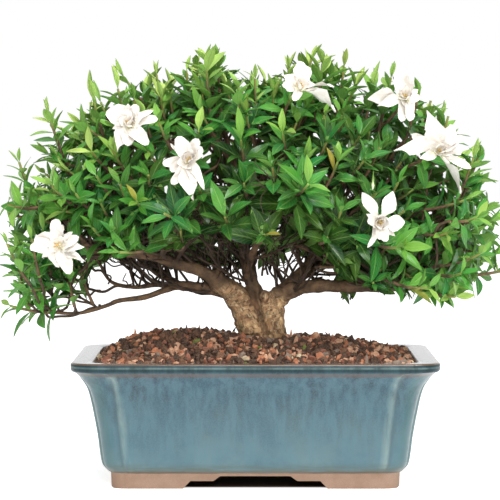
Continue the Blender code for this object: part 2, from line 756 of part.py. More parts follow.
class Room:
    """What a leaf must keep clear of: other sprays, wood, blooms and its own spray's leaves."""

    def __init__(self, stems, branches):
        self.stems = [line for line, _ in stems]
        self.wood = []
        self.own_leaves = []
        for limb in LIMBS.values():
            self.wood += smooth_line(limb, 3)
        for line, _ in branches:
            for (a, ra), (b, rb) in zip(line, line[1:]):
                for share in (0.0, 0.25, 0.5, 0.75):
                    self.wood.append((a.lerp(b, share), ra + (rb - ra) * share))
        for face, way, _ in BLOOMS:
            face, way = Vector(face), Vector(way).normalized()
            for step in range(8):
                back = BLOOM_TUBE_LENGTH * step / 7
                self.wood.append((face - way * back, BLOOM_TUBE_RADIUS))

    def start_spray(self):
        self.own_leaves = []

    def keep(self, points):
        self.own_leaves.append(points)

    def is_clear(self, own, points):
        if any((a - b).length < LEAF_SPACING for leaf in self.own_leaves for b in leaf for a in points):
            return False
        for point in points:
            if not in_canopy(point):
                return False
            to_own = distance_to_line(point, self.stems[own])
            for other, line in enumerate(self.stems):
                if other == own or (line[2] - point).length > 0.09:
                    continue
                if distance_to_line(point, line) < to_own + LEAF_CLEARANCE:
                    return False
            for face, way, size in BLOOMS:
                reach = point - Vector(face)
                rise = reach.dot(Vector(way).normalized())
                if -0.0070 < rise < 0.020 * size and reach.length < BLOOM_KEEP_OUT * size:
                    return False
            for centre, radius in self.wood:
                if (point - centre).length < radius + WOOD_CLEARANCE:
                    return False
        return True


def in_canopy(point):
    over_soil = abs(point.x) < 0.145 and abs(point.y) < 0.105
    lowest = 0.142 if over_soil else 0.124
    return (-0.2290 < point.x < 0.2260 and abs(point.y) < 0.1495
            and lowest < point.z < 0.3955)


def leaf_for(own, root, frame, axis, turn, length, spread, room, chance):
    """One leaf of a whorl, bent clear of what it would cross, or None if nothing fits."""
    side, other = frame
    straight = math.cos(turn) * side + math.sin(turn) * other
    size = chance.uniform(0.88, 1.08)
    for shrink in (1.0, 0.82):
        for swing, opening in ((0, 0), (0, 12), (13, 4), (-13, 4), (0, -14), (24, 8), (-24, 8)):
            out = Matrix.Rotation(math.radians(swing), 3, axis) @ straight
            open_by = math.radians(spread + opening)
            way = (math.cos(open_by) * axis + math.sin(open_by) * out).normalized()
            face = (math.sin(open_by) * axis - math.cos(open_by) * out).normalized()
            bend = 0.16 * UP - 0.20 * face
            long = length * size * shrink
            rings, tip = blade(root, way, face, bend, long, long * LEAF_WIDTH_SHARE,
                               LEAF_SECTIONS, LEAF_THICKNESS)
            points = test_points(rings, tip)
            if room.is_clear(own, points):
                room.keep(points)
                return rings, tip
    return None


def point_along(line, share):
    place = share * (len(line) - 1)
    index = min(int(place), len(line) - 2)
    return line[index].lerp(line[index + 1], place - index)


def build_spray(name, own, stem_line, has_bloom, room, finish):
    """A three-sided stem whose sides grow out into whorls of leaves at each joint."""
    chance = random.Random(100 + own)
    whorls = BLOOM_SPRAY_WHORLS if has_bloom else WHORLS
    total = sum((b - a).length for a, b in zip(stem_line, stem_line[1:]))
    half_band = 0.5 * LEAF_ROOT_HEIGHT / total
    shares = [0.0]
    for share, _, _ in whorls:
        shares += [share - half_band, share + half_band]
    if has_bloom:
        shares += [1 - CALYX_LENGTH / total, 1 - 0.55 * CALYX_LENGTH / total, 1.0]
    thick, thin = STEM_RADIUS
    stations = [(point_along(stem_line, s), thick + (thin - thick) * s) for s in shares]
    if has_bloom:
        stations[-2] = (stations[-2][0], CALYX_RADIUS)
        stations[-1] = (stations[-1][0], 0.8 * CALYX_RADIUS)
    first_way = (stem_line[1] - stem_line[0]).normalized()
    last_way = (stem_line[-1] - stem_line[-2]).normalized()
    frames = turned_frames(stations, first_way, last_way)
    start = chance.uniform(0, math.tau / 3)
    made = bmesh.new()
    room.start_spray()
    rings = []
    for index, ((centre, radius), frame) in enumerate(zip(stations, frames)):
        turn = start + math.radians(60) * min((index + 1) // 2, len(whorls))
        rings.append(ring_of_verts(made, centre, frame, radius, turn, 3))
    for index in range(len(rings) - 1):
        whorl = (index - 1) // 2
        if index % 2 == 0 or whorl >= len(whorls):
            join_rings(made, rings[index], rings[index + 1])
            continue
        _, length, spread = whorls[whorl]
        low, high = rings[index], rings[index + 1]
        centre = 0.5 * (stations[index][0] + stations[index + 1][0])
        side, other = frames[index]
        axis = side.cross(other)
        for i in range(3):
            k = (i + 1) % 3
            turn = start + math.radians(60 * (whorl + 1) + 120 * i + 60)
            leaf = leaf_for(own, centre, frames[index], axis, turn, length, spread, room, chance)
            corners = [low[i], low[k], high[k], high[i]]
            if leaf:
                grow_blade(made, corners, *leaf)
            else:
                made.faces.new(corners)
    made.faces.new(rings[0])
    leaf = None
    if not has_bloom:
        corner = (rings[-1][0].co - stations[-1][0]).normalized()
        leaf = end_leaf(own, stations[-1][0], last_way, corner, room, chance)
    if leaf:
        points, tip = leaf
        high = [made.verts.new(point) for point in points]
        join_rings(made, rings[-1], high)
        end = made.verts.new(tip)
        for i in range(3):
            made.faces.new((high[i], high[(i + 1) % 3], end))
    else:
        made.faces.new(rings[-1])
    return object_from(made, name, finish)


def end_leaf(own, root, axis, side, room, chance):
    """The youngest leaf, straight out of the stem's end, as one three-pointed ring and a tip."""
    length = chance.uniform(0.020, 0.026)
    middle = root + axis * (0.42 * length)
    across = side.cross(axis).normalized()
    wide = LEAF_WIDTH_SHARE * length * 0.9
    ring = [middle + side * 0.0009, middle + across * wide * -1 - side * 0.0003,
            middle + across * wide - side * 0.0003]
    tip = root + (axis + 0.1 * UP).normalized() * length
    points = [middle, tip, middle.lerp(tip, 0.5)]
    return (ring, tip) if room.is_clear(own, points) else None


def build_sprays(stems, branches, greens):
    room = Room(stems, branches)
    for own, (stem_line, bloom) in enumerate(stems):
        height = stem_line[-1].z
        shade = 0 if height < 0.24 else 1 if height < 0.32 else 2
        build_spray(f"spray_{own + 1:02d}", own, stem_line, bloom is not None, room, greens[shade])


def build_blooms(petal_white):
    """Each bloom is a tube whose sides grow out into two layers of petals."""
    for number, (face, way, size) in enumerate(BLOOMS):
        face, axis = Vector(face), Vector(way).normalized()
        chance = random.Random(300 + number)
        frame = (axis.orthogonal().normalized(), axis.cross(axis.orthogonal().normalized()))
        start = chance.uniform(0, 1)
        made = bmesh.new()
        back = face - axis * BLOOM_TUBE_LENGTH
        count = PETALS_A_LAYER
        low = ring_of_verts(made, back, frame, BLOOM_TUBE_RADIUS, start, count)
        made.faces.new(low)
        neck = ring_of_verts(made, face - axis * 0.0045, frame, BLOOM_TUBE_RADIUS, start, count)
        join_rings(made, low, neck)
        low = neck
        for layer, (rise, radius, length, half_width, spread) in enumerate(PETAL_LAYERS):
            turn = start + math.pi / count * layer
            root = face + axis * rise
            band = [ring_of_verts(made, root + axis * up, frame, radius, turn, count)
                    for up in (-0.5 * PETAL_ROOT_HEIGHT, 0.5 * PETAL_ROOT_HEIGHT)]
            join_rings(made, low, band[0])
            for i in range(count):
                k = (i + 1) % count
                angle = turn + math.tau * (i + 0.5) / count + chance.uniform(-0.04, 0.04)
                out = math.cos(angle) * frame[0] + math.sin(angle) * frame[1]
                open_by = math.radians(spread + chance.uniform(-3, 3))
                petal_way = math.cos(open_by) * axis + math.sin(open_by) * out
                upper = math.sin(open_by) * axis - math.cos(open_by) * out
                rings, tip = blade(root + radius * out, petal_way, upper, -0.10 * upper,
                                   length * size * chance.uniform(0.92, 1.06),
                                   half_width * size, PETAL_SECTIONS[layer], PETAL_THICKNESS)
                grow_blade(made, [band[0][i], band[0][k], band[1][k], band[1][i]], rings, tip)
            low = band[1]
        heart = made.verts.new(face + axis * (PETAL_LAYERS[-1][0] + 0.0045))
        for i in range(count):
            made.faces.new((low[i], low[(i + 1) % count], heart))
        object_from(made, f"bloom_{number + 1}", petal_white)


def main():
    clear_scene()
    glaze = material("blue_glaze", (0.14, 0.25, 0.30), 0.22, coat=0.5)
    granules = material("granules", (0.17, 0.095, 0.058), 0.95)
    plastic = material("screen_plastic", (0.03, 0.03, 0.03), 0.6)
    bark = material("bark", (0.20, 0.13, 0.075), 0.85)
    greens = (material("leaf_dark", (0.025, 0.085, 0.020), 0.35),
              material("leaf_mid", (0.050, 0.145, 0.028), 0.38),
              material("leaf_young", (0.125, 0.270, 0.040), 0.42))
    petal_white = material("petal_white", (0.88, 0.86, 0.82), 0.55)
    stems = plan_sprays()
    branches = plan_branches(stems)
    build_pot(glaze)
    build_drain_screens(plastic)
    build_soil(granules)
    build_trunk(branches, bark)
    build_sprays(stems, branches, greens)
    build_blooms(petal_white)


main()
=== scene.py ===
"""Gardenia bonsai in its glazed pot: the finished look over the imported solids.

Everything is in metres and in the solids' own frame: the origin is the middle of the pot's
footprint, the front faces -Y. Each operator makes one piece, or one group of like pieces.
"""

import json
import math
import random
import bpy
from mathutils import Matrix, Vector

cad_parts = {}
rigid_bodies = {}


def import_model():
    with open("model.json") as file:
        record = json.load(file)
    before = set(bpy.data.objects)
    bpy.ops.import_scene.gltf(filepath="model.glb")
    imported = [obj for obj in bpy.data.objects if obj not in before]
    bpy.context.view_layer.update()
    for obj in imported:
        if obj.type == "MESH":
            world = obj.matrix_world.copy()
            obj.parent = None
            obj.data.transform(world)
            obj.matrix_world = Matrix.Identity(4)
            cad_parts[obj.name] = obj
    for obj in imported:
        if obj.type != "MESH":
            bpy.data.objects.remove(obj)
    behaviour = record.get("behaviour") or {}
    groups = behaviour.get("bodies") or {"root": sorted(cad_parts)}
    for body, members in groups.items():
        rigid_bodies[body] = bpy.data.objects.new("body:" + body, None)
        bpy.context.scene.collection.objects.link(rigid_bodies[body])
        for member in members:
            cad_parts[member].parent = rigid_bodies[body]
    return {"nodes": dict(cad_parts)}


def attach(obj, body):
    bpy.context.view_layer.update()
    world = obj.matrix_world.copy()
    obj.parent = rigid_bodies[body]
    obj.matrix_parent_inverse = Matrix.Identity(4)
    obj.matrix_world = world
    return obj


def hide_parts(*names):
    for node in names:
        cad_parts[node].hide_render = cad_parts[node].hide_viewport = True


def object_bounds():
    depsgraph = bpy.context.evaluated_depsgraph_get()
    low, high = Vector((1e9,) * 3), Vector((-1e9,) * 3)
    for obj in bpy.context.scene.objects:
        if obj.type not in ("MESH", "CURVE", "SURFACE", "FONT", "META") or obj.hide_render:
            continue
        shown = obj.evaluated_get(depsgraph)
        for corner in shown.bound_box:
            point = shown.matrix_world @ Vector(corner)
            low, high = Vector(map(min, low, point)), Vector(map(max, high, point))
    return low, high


bl_info = {
    "name": "Gardenia Bonsai",
    "version": (1, 0, 0),
    "blender": (4, 5, 0),
    "location": "View3D > Sidebar > Bonsai",
    "description": "Dresses the solids of a flowering gardenia bonsai and its glazed pot",
    "category": "Object",
}

import bmesh
import bpy
import numpy as np
from mathutils import Matrix, Vector, kdtree, noise

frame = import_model()
CAD_LOW, CAD_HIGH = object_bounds()
UP = Vector((0.0, 0.0, 1.0))

# Pot
RIM_HALF_X = 0.160
RIM_HALF_Y = 0.120
POT_HEIGHT = 0.1112
FLOOR_TOP = 0.0200
FLOOR_UNDERSIDE = 0.0122
FOOT_BAND_WIDTH = 0.014
FOOT_INSET = 0.0352
DRAIN_HOLE_RADIUS = 0.009
DRAIN_HOLE_X = 0.075
# The body runs from the feet to the roll under the rim
BODY_FOOT = 0.0142
BODY_TOP = 0.1035
SHELL = 0.0070
EDGE_REACH = 0.0045
GROOVE_REACH = 0.0026
# A corner's rounding is smaller than the corner by this many times its notch
NOTCH_CUTS = 2.2

# Outer wall from the feet up: height, inset from the rim's edge, corner size, corner notch
OUTER_WALL = (
    (0.0000, FOOT_INSET, 0.012, 0.0006),
    (0.0015, 0.0342, 0.013, 0.0006),
    (0.0130, 0.0338, 0.013, 0.0006),
    (0.0144, 0.0308, 0.020, 0.0020),
    (0.0200, 0.0264, 0.0215, 0.0034),
    (0.0300, 0.0243, 0.0220, 0.0040),
    (0.0460, 0.0222, 0.0230, 0.0044),
    (0.0630, 0.0192, 0.0241, 0.0044),
    (0.0780, 0.0162, 0.0255, 0.0042),
    (0.0880, 0.0132, 0.0270, 0.0036),
    (0.0955, 0.0086, 0.0295, 0.0024),
    (0.1000, 0.0050, 0.0310, 0.0012),
    (0.1022, 0.0026, 0.0305, 0.0008),
    (0.1052, 0.0002, 0.0240, 0.0006),
    (0.1096, 0.0002, 0.0240, 0.0006),
    (POT_HEIGHT, 0.0020, 0.0228, 0.0006),
)
# Inner wall from the rim down to the floor
INNER_WALL = (
    (0.1109, 0.0180, 0.0160, 0.0006),
    (0.1092, 0.0200, 0.0150, 0.0006),
    (0.0460, 0.0312, 0.0140, 0.0006),
    (FLOOR_TOP, 0.0345, 0.0130, 0.0006),
)
# Foot cut-outs, half of the outline: distance from the middle, height
FRONT_CUT = ((0.0640, -0.0010), (0.0565, 0.0069), (0.0365, 0.0069), (0.0305, 0.0112))
SIDE_CUT = ((0.0400, -0.0010), (0.0345, 0.0069), (0.0220, 0.0069), (0.0180, 0.0112))

# Soil
SOIL_EDGE_HEIGHT = 0.1082
SOIL_CROWN = 0.0165
SOIL_LEFT_HEAP = 0.0085
# Smaller heaps beside it: where across, width, height
SOIL_SIDE_HEAPS = ((-0.108, 0.026, 0.0068), (0.070, 0.038, 0.0026))
# How far in from the rim's edge the bed and the loose granules end
BED_INSET = 0.0206
GRANULE_INSET = 0.0226

# Wood: each limb is a line of (x, y, z, radius), from its root to its tip
LIMBS = {
    "left_stem": (
        (-0.001, 0.000, 0.104, 0.0130), (-0.002, 0.000, 0.128, 0.0128), (-0.010, -0.001, 0.150, 0.0118),
        (-0.020, -0.003, 0.166, 0.0105), (-0.036, -0.006, 0.177, 0.0078)),
    "right_stem": (
        (0.014, 0.001, 0.104, 0.0132), (0.0145, 0.001, 0.128, 0.0130), (0.0135, 0.000, 0.150, 0.0128),
        (0.016, -0.001, 0.163, 0.0098)),
    "centre_stem": (
        (0.010, 0.002, 0.146, 0.0095), (0.002, 0.003, 0.162, 0.0076), (-0.003, 0.004, 0.1735, 0.0063),
        (-0.0075, 0.005, 0.187, 0.0053), (-0.010, 0.005, 0.2015, 0.0047), (-0.012, 0.004, 0.235, 0.0037),
        (-0.0155, 0.000, 0.2575, 0.0029), (-0.021, -0.005, 0.2846, 0.0022), (-0.029, -0.010, 0.320, 0.0015)),
    "upper_left_limb": (
        (-0.024, -0.004, 0.169, 0.0088), (-0.047, -0.014, 0.1855, 0.0055), (-0.068, -0.022, 0.192, 0.0048),
        (-0.086, -0.029, 0.1985, 0.0043), (-0.115, -0.036, 0.2035, 0.0037),
        (-0.143, -0.042, 0.2035, 0.0031), (-0.153, -0.044, 0.216, 0.0028), (-0.162, -0.046, 0.232, 0.0024),
        (-0.172, -0.048, 0.264, 0.0017)),
    "lower_left_limb": (
        (-0.024, -0.002, 0.168, 0.0078), (-0.040, 0.002, 0.1695, 0.0056), (-0.068, 0.006, 0.172, 0.0043),
        (-0.078, 0.002, 0.1695, 0.0032), (-0.098, -0.010, 0.1627, 0.0026), (-0.121, -0.020, 0.160, 0.0022),
        (-0.133, -0.024, 0.1555, 0.0020), (-0.156, -0.030, 0.1495, 0.0017), (-0.176, -0.034, 0.150, 0.0014)),
    "middle_left_limb": (
        (-0.066, 0.006, 0.172, 0.0038), (-0.087, 0.022, 0.1815, 0.0028), (-0.097, 0.032, 0.187, 0.0025),
        (-0.115, 0.046, 0.190, 0.0021), (-0.136, 0.056, 0.199, 0.0017)),
    "twisted_left_limb": (
        (-0.074, 0.004, 0.171, 0.0030), (-0.090, 0.012, 0.1725, 0.0024), (-0.1095, 0.018, 0.170, 0.0020),
        (-0.130, 0.020, 0.1745, 0.0017), (-0.140, 0.018, 0.190, 0.0014)),
    "low_right_limb": (
        (0.016, 0.000, 0.158, 0.0100), (0.026, -0.004, 0.1650, 0.0083), (0.037, -0.009, 0.170, 0.0067),
        (0.054, -0.017, 0.173, 0.0060), (0.081, -0.026, 0.173, 0.0054), (0.105, -0.033, 0.1725, 0.0044),
        (0.131, -0.038, 0.1725, 0.0033), (0.158, -0.038, 0.1755, 0.0024), (0.182, -0.034, 0.182, 0.0016)),
    "upper_right_limb": (
        (0.019, 0.003, 0.163, 0.0068), (0.031, 0.009, 0.1745, 0.0053), (0.0405, 0.016, 0.183, 0.0047),
        (0.0495, 0.023, 0.1935, 0.0042), (0.0585, 0.029, 0.207, 0.0037), (0.0675, 0.034, 0.226, 0.0031),
        (0.078, 0.038, 0.253, 0.0025), (0.090, 0.040, 0.290, 0.0018)),
    "back_limb": (
        (-0.003, 0.005, 0.176, 0.0050), (-0.004, 0.024, 0.188, 0.0043), (-0.012, 0.050, 0.206, 0.0036),
        (-0.020, 0.076, 0.232, 0.0028), (-0.024, 0.092, 0.262, 0.0019)),
    "front_limb": (
        (-0.008, 0.004, 0.188, 0.0042), (-0.002, -0.016, 0.203, 0.0034), (0.004, -0.044, 0.219, 0.0028),
        (0.008, -0.070, 0.240, 0.0022), (0.012, -0.086, 0.262, 0.0016)),
    "back_right_limb": (
        (0.020, 0.004, 0.164, 0.0058), (0.042, 0.028, 0.179, 0.0043), (0.070, 0.056, 0.197, 0.0034),
        (0.100, 0.076, 0.220, 0.0026), (0.122, 0.086, 0.246, 0.0018)),
    "back_left_limb": (
        (-0.022, 0.002, 0.170, 0.0055), (-0.046, 0.026, 0.183, 0.0042), (-0.078, 0.054, 0.200, 0.0033),
        (-0.108, 0.074, 0.220, 0.0025), (-0.130, 0.084, 0.246, 0.0018)),
}
BRANCH_ROOT_RADIUS = 0.0024
TWIG_RADIUS = 0.0013
FOOT_SIDES = 28
# How far young stems stay from the solids' left and right ends
STEM_ROOM = 0.0025
# Leaves nearer to the middle than this make a piece of their own
LEAF_SPLIT = 0.075
# Swellings on the trunk where old branches were taken off: middle, radius
KNOTS = (
    ((-0.0085, -0.0095, 0.1595), 0.0058), ((-0.0165, -0.0080, 0.1575), 0.0050),
    ((0.0075, -0.0105, 0.1640), 0.0056), ((0.0190, -0.0095, 0.1660), 0.0062),
    ((-0.0060, -0.0115, 0.1330), 0.0052), ((0.0120, -0.0120, 0.1280), 0.0048),
    ((-0.0330, -0.0080, 0.1860), 0.0046),
)

# Groove between the two trunks, seen from the front: height, its sign turned, and x
CREASE = ((-0.170, -0.0030), (-0.166, -0.0015), (-0.150, 0.0035), (-0.133, 0.0086), (-0.110, 0.0110))

# Canopy: a flattened dome, flatter below its widest level than above it
CANOPY_CENTRE = Vector((-0.0025, 0.0, 0.222))
CANOPY_REACH = (0.2275, 0.150, 0.166)
CANOPY_REACH_DOWN = 0.060
CANOPY_POWER = 2.35
SPRAYS_BY_RULE = 45
SPRAY_DEPTH = 0.70
CLEAR_OF_PLACED = 0.050
SPRAY_LENGTH = (0.036, 0.046)
FILL_LENGTH = (0.028, 0.044)
# What lies nearer to the front than this hangs lower
CROWN_FRONT = 0.015
# The crown's low left end: where it ends across, and its top
LOW_LEFT = (-0.15, 0.21)
# The tallest shoot at the left stands between these
SPEAR = (-0.146, -0.118)
# Where the openings lie: left, right, low, high
OPENINGS_BOX = (-0.17, 0.08, 0.160, 0.226)
GAP = 0.0003

# The canopy's upper and lower edge as seen from the front: x, height
SKYLINE = (
    (-0.2268, 0.2598), (-0.2189, 0.2953), (-0.2022, 0.3150), (-0.1854, 0.3407), (-0.1617, 0.3476),
    (-0.1440, 0.3640), (-0.1340, 0.3525), (-0.1222, 0.3752), (-0.1124, 0.3486), (-0.1036, 0.3565),
    (-0.0858, 0.3732), (-0.0730, 0.3565), (-0.0493, 0.3831), (-0.0355, 0.3900), (-0.0237, 0.3762),
    (-0.0138, 0.3624), (0.0000, 0.3663), (0.0099, 0.3565), (0.0217, 0.3584), (0.0276, 0.3792),
    (0.0493, 0.3811), (0.0592, 0.3841), (0.0690, 0.3752), (0.0809, 0.3821), (0.0907, 0.3703),
    (0.1026, 0.3644), (0.1203, 0.3732), (0.1322, 0.3614), (0.1479, 0.3525), (0.1578, 0.3367),
    (0.1696, 0.3348), (0.1755, 0.3170), (0.1884, 0.3091), (0.2022, 0.2973), (0.2110, 0.2756),
    (0.2249, 0.2539),
)
UNDERSIDE = (
    (-0.2268, 0.1494), (-0.2110, 0.1296), (-0.1677, 0.1257), (-0.1578, 0.1592), (-0.1381, 0.1947),
    (-0.1105, 0.2066), (-0.0789, 0.2105), (-0.0444, 0.2145), (0.0000, 0.2125), (0.0500, 0.2125),
    (0.0660, 0.2040), (0.0770, 0.1860), (0.1000, 0.1740), (0.1282, 0.1640), (0.1657, 0.1573),
    (0.1972, 0.1671), (0.2249, 0.1888),
)

# Sprays set one by one where the canopy hangs lower: root, direction
LOW_SPRAYS = (
    ((-0.178, -0.034, 0.150), (-0.75, -0.25, 0.05)),
    ((-0.168, -0.040, 0.178), (-0.65, -0.60, -0.25)),
    ((-0.152, 0.024, 0.188), (-0.85, 0.40, -0.10)),
    ((0.150, -0.058, 0.170), (0.55, -0.75, -0.12)),
    ((0.184, -0.034, 0.183), (0.90, -0.25, 0.05)),
    ((0.098, -0.062, 0.176), (0.15, -0.95, 0.05)),
    ((0.150, 0.028, 0.182), (0.85, 0.50, -0.10)),
    ((0.004, -0.086, 0.214), (0.05, -0.98, 0.10)),
)
# Where the sky shows through under the canopy, as seen from the front and laid off at the
# trunk's depth: middle across, middle up, half the width, half the height
OPENINGS = (
    (-0.1239, 0.1839, 0.0107, 0.0072), (-0.1150, 0.1677, 0.0081, 0.0022), (-0.0899, 0.1704, 0.0125, 0.0031),
    (-0.1445, 0.1785, 0.0045, 0.0054), (0.0301, 0.1991, 0.0036, 0.0054), (0.0005, 0.1964, 0.0054, 0.0036),
    (0.0650, 0.1857, 0.0054, 0.0027), (-0.1069, 0.1785, 0.0031, 0.0045), (-0.0944, 0.1785, 0.0045, 0.0036),
    (-0.0765, 0.1830, 0.0045, 0.0027), (-0.0044, 0.2063, 0.0031, 0.0036), (0.0364, 0.1857, 0.0054, 0.0036),
    (-0.0863, 0.1875, 0.0036, 0.0022), (0.0570, 0.1875, 0.0036, 0.0036), (0.0435, 0.1964, 0.0036, 0.0031),
    (-0.0980, 0.2089, 0.0036, 0.0018), (-0.1284, 0.1928, 0.0045, 0.0018), (-0.0205, 0.1866, 0.0022, 0.0036),
    (0.0346, 0.1910, 0.0045, 0.0027), (-0.0407, 0.2170, 0.0027, 0.0022), (-0.1517, 0.2080, 0.0022, 0.0031),
    (-0.0344, 0.2089, 0.0022, 0.0022), (-0.1589, 0.1695, 0.0036, 0.0027), (-0.1392, 0.1713, 0.0018, 0.0022),
    (0.0041, 0.2018, 0.0027, 0.0022), (-0.0201, 0.1991, 0.0022, 0.0022), (0.0238, 0.2215, 0.0022, 0.0018),
    (0.0113, 0.1749, 0.0045, 0.0045), (-0.0541, 0.1794, 0.0063, 0.0027),
)
# The photo's eye: y, z
SEEN_FROM = (-2.52, 0.307)
# Fine twigs that part those openings: x, y, z, radius along each
FINE_TWIGS = (
    ((-0.1095, -0.002, 0.1741, 0.0009), (-0.1114, 0.001, 0.1803, 0.0008), (-0.1107, 0.003, 0.1864, 0.0007),
     (-0.1135, 0.006, 0.1934, 0.0006)),
    ((-0.0972, 0.004, 0.1729, 0.0009), (-0.1018, 0.006, 0.1791, 0.0008), (-0.1010, 0.008, 0.1862, 0.0007),
     (-0.1055, 0.010, 0.1924, 0.0006)),
    ((-0.1357, 0.002, 0.1945, 0.0008), (-0.1286, 0.004, 0.1908, 0.0007), (-0.1206, 0.006, 0.1899, 0.0007),
     (-0.1118, 0.008, 0.1853, 0.0006)),
    ((-0.0892, 0.006, 0.1746, 0.0010), (-0.0929, 0.008, 0.1808, 0.0009), (-0.0984, 0.010, 0.1861, 0.0007),
     (-0.1029, 0.012, 0.1932, 0.0006)),
    ((-0.0821, 0.008, 0.1736, 0.0010), (-0.0831, 0.010, 0.1807, 0.0009), (-0.0876, 0.012, 0.1896, 0.0007),
     (-0.0886, 0.014, 0.1967, 0.0006)),
    ((-0.1141, 0.000, 0.1731, 0.0007), (-0.1178, 0.002, 0.1775, 0.0006), (-0.1161, 0.004, 0.1837, 0.0004)),
    ((0.0238, -0.002, 0.1750, 0.0012), (0.0301, 0.001, 0.1892, 0.0011), (0.0328, 0.005, 0.2016, 0.0009),
     (0.0374, 0.008, 0.2113, 0.0008)),
    ((0.0292, 0.004, 0.1783, 0.0012), (0.0365, 0.007, 0.1880, 0.0011), (0.0419, 0.009, 0.1987, 0.0009),
     (0.0500, 0.012, 0.2085, 0.0008)),
    ((0.0257, 0.006, 0.1845, 0.0008), (0.0320, 0.007, 0.1916, 0.0007), (0.0392, 0.009, 0.1933, 0.0006),
     (0.0455, 0.010, 0.1897, 0.0005)),
    ((0.0329, 0.006, 0.1934, 0.0007), (0.0374, 0.009, 0.1987, 0.0006), (0.0392, 0.012, 0.2067, 0.0005)),
    ((0.0059, -0.004, 0.1814, 0.0011), (0.0068, -0.001, 0.1938, 0.0010), (0.0023, 0.001, 0.2026, 0.0008),
     (-0.0013, 0.004, 0.2106, 0.0007)),
    ((0.0113, 0.006, 0.1818, 0.0011), (0.0095, 0.009, 0.1960, 0.0009), (0.0113, 0.012, 0.2076, 0.0007)),
    ((0.0077, 0.004, 0.1864, 0.0009), (0.0140, 0.009, 0.1933, 0.0008), (0.0195, 0.014, 0.2039, 0.0006)),
    ((-0.0174, 0.010, 0.1717, 0.0011), (-0.0220, 0.013, 0.1805, 0.0010), (-0.0211, 0.015, 0.1930, 0.0008),
     (-0.0247, 0.018, 0.2037, 0.0007)),
    ((-0.0129, 0.006, 0.1737, 0.0008), (-0.0174, 0.009, 0.1834, 0.0006), (-0.0157, 0.012, 0.1932, 0.0005)),
    ((0.0508, 0.004, 0.1810, 0.0009), (0.0562, 0.006, 0.1863, 0.0008), (0.0643, 0.008, 0.1889, 0.0007),
     (0.0725, 0.010, 0.1906, 0.0006)),
    ((-0.1317, -0.006, 0.1743, 0.0009), (-0.1300, -0.003, 0.1787, 0.0008),
     (-0.1346, -0.001, 0.1848, 0.0007), (-0.1357, 0.002, 0.1918, 0.0006)),
)
# Fine twigs that would end short of the wood are led on to it: row, whether at its start, point
TWIG_LINKS = {
    2: (False, (-0.1120, 0.0032, 0.1840)),
    5: (True, (-0.1104, -0.0020, 0.1740)),
    14: (True, (-0.0137, 0.0049, 0.1712)),
    16: (False, (-0.1353, 0.0018, 0.1952)),
}
# Where the canopy hangs low at its two ends: lowest and highest corner, shoots tried
SKIRTS = (
    ((0.062, -0.120, 0.166), (0.150, 0.110, 0.215), 120),
    ((0.140, -0.100, 0.168), (0.215, 0.100, 0.250), 90),
    ((-0.216, -0.080, 0.140), (-0.160, 0.030, 0.215), 70),
    ((-0.215, -0.100, 0.205), (-0.150, 0.100, 0.270), 50),
    ((-0.140, 0.015, 0.184), (0.110, 0.110, 0.235), 170),
)
# Tall young shoots that stand out of the dome: where their tip is, and their length
CROWN_SHOOTS = (
    ((-0.1425, -0.030, 0.3366), 0.044), ((-0.1205, -0.050, 0.3480), 0.046),
    ((-0.0868, -0.045, 0.3604), 0.052), ((-0.0611, -0.030, 0.3644), 0.048),
    ((-0.0434, -0.060, 0.3722), 0.056), ((-0.0335, -0.020, 0.3762), 0.050),
    ((0.0296, -0.020, 0.3663), 0.046), ((0.0434, 0.020, 0.3683), 0.046), ((0.0592, -0.030, 0.3703), 0.048),
    ((0.0789, -0.014, 0.3683), 0.048), ((0.1203, -0.020, 0.3584), 0.046), ((0.1065, 0.030, 0.3525), 0.044),
    ((-0.1834, -0.020, 0.3269), 0.046), ((0.1657, -0.010, 0.3229), 0.044),
    ((-0.0986, 0.050, 0.3486), 0.046), ((0.0099, 0.060, 0.3565), 0.046), ((0.1456, -0.035, 0.3500), 0.038),
    ((0.1560, -0.015, 0.3380), 0.038), ((0.1700, -0.040, 0.3240), 0.040), ((0.2000, -0.025, 0.2960), 0.040),
    ((-0.0148, -0.090, 0.3486), 0.044), ((0.0000, -0.050, 0.3565), 0.040),
    ((0.1923, -0.040, 0.2874), 0.042), ((-0.2091, -0.030, 0.2835), 0.042),
)

# Blooms: middle of the open face, direction that it looks in, size
BLOOMS = (
    ((-0.1076, -0.104, 0.3161), (-0.20, -0.92, 0.32), 0.98),
    ((-0.0567, -0.128, 0.2860), (-0.05, -0.98, 0.10), 1.06),
    ((0.0370, -0.085, 0.3478), (0.35, -0.80, 0.48), 0.98),
    ((0.1298, -0.066, 0.3395), (0.12, -0.92, 0.36), 1.04),
    ((0.1572, -0.086, 0.2926), (0.30, -0.90, 0.22), 1.30),
    ((0.1060, -0.122, 0.2338), (0.05, -0.99, -0.05), 1.04),
    ((-0.1690, -0.092, 0.2118), (-0.30, -0.94, 0.12), 1.06),
    ((-0.0789, 0.108, 0.2993), (-0.20, 0.92, 0.34), 1.00),
    ((0.0888, 0.112, 0.2697), (0.25, 0.95, 0.20), 1.04),
)
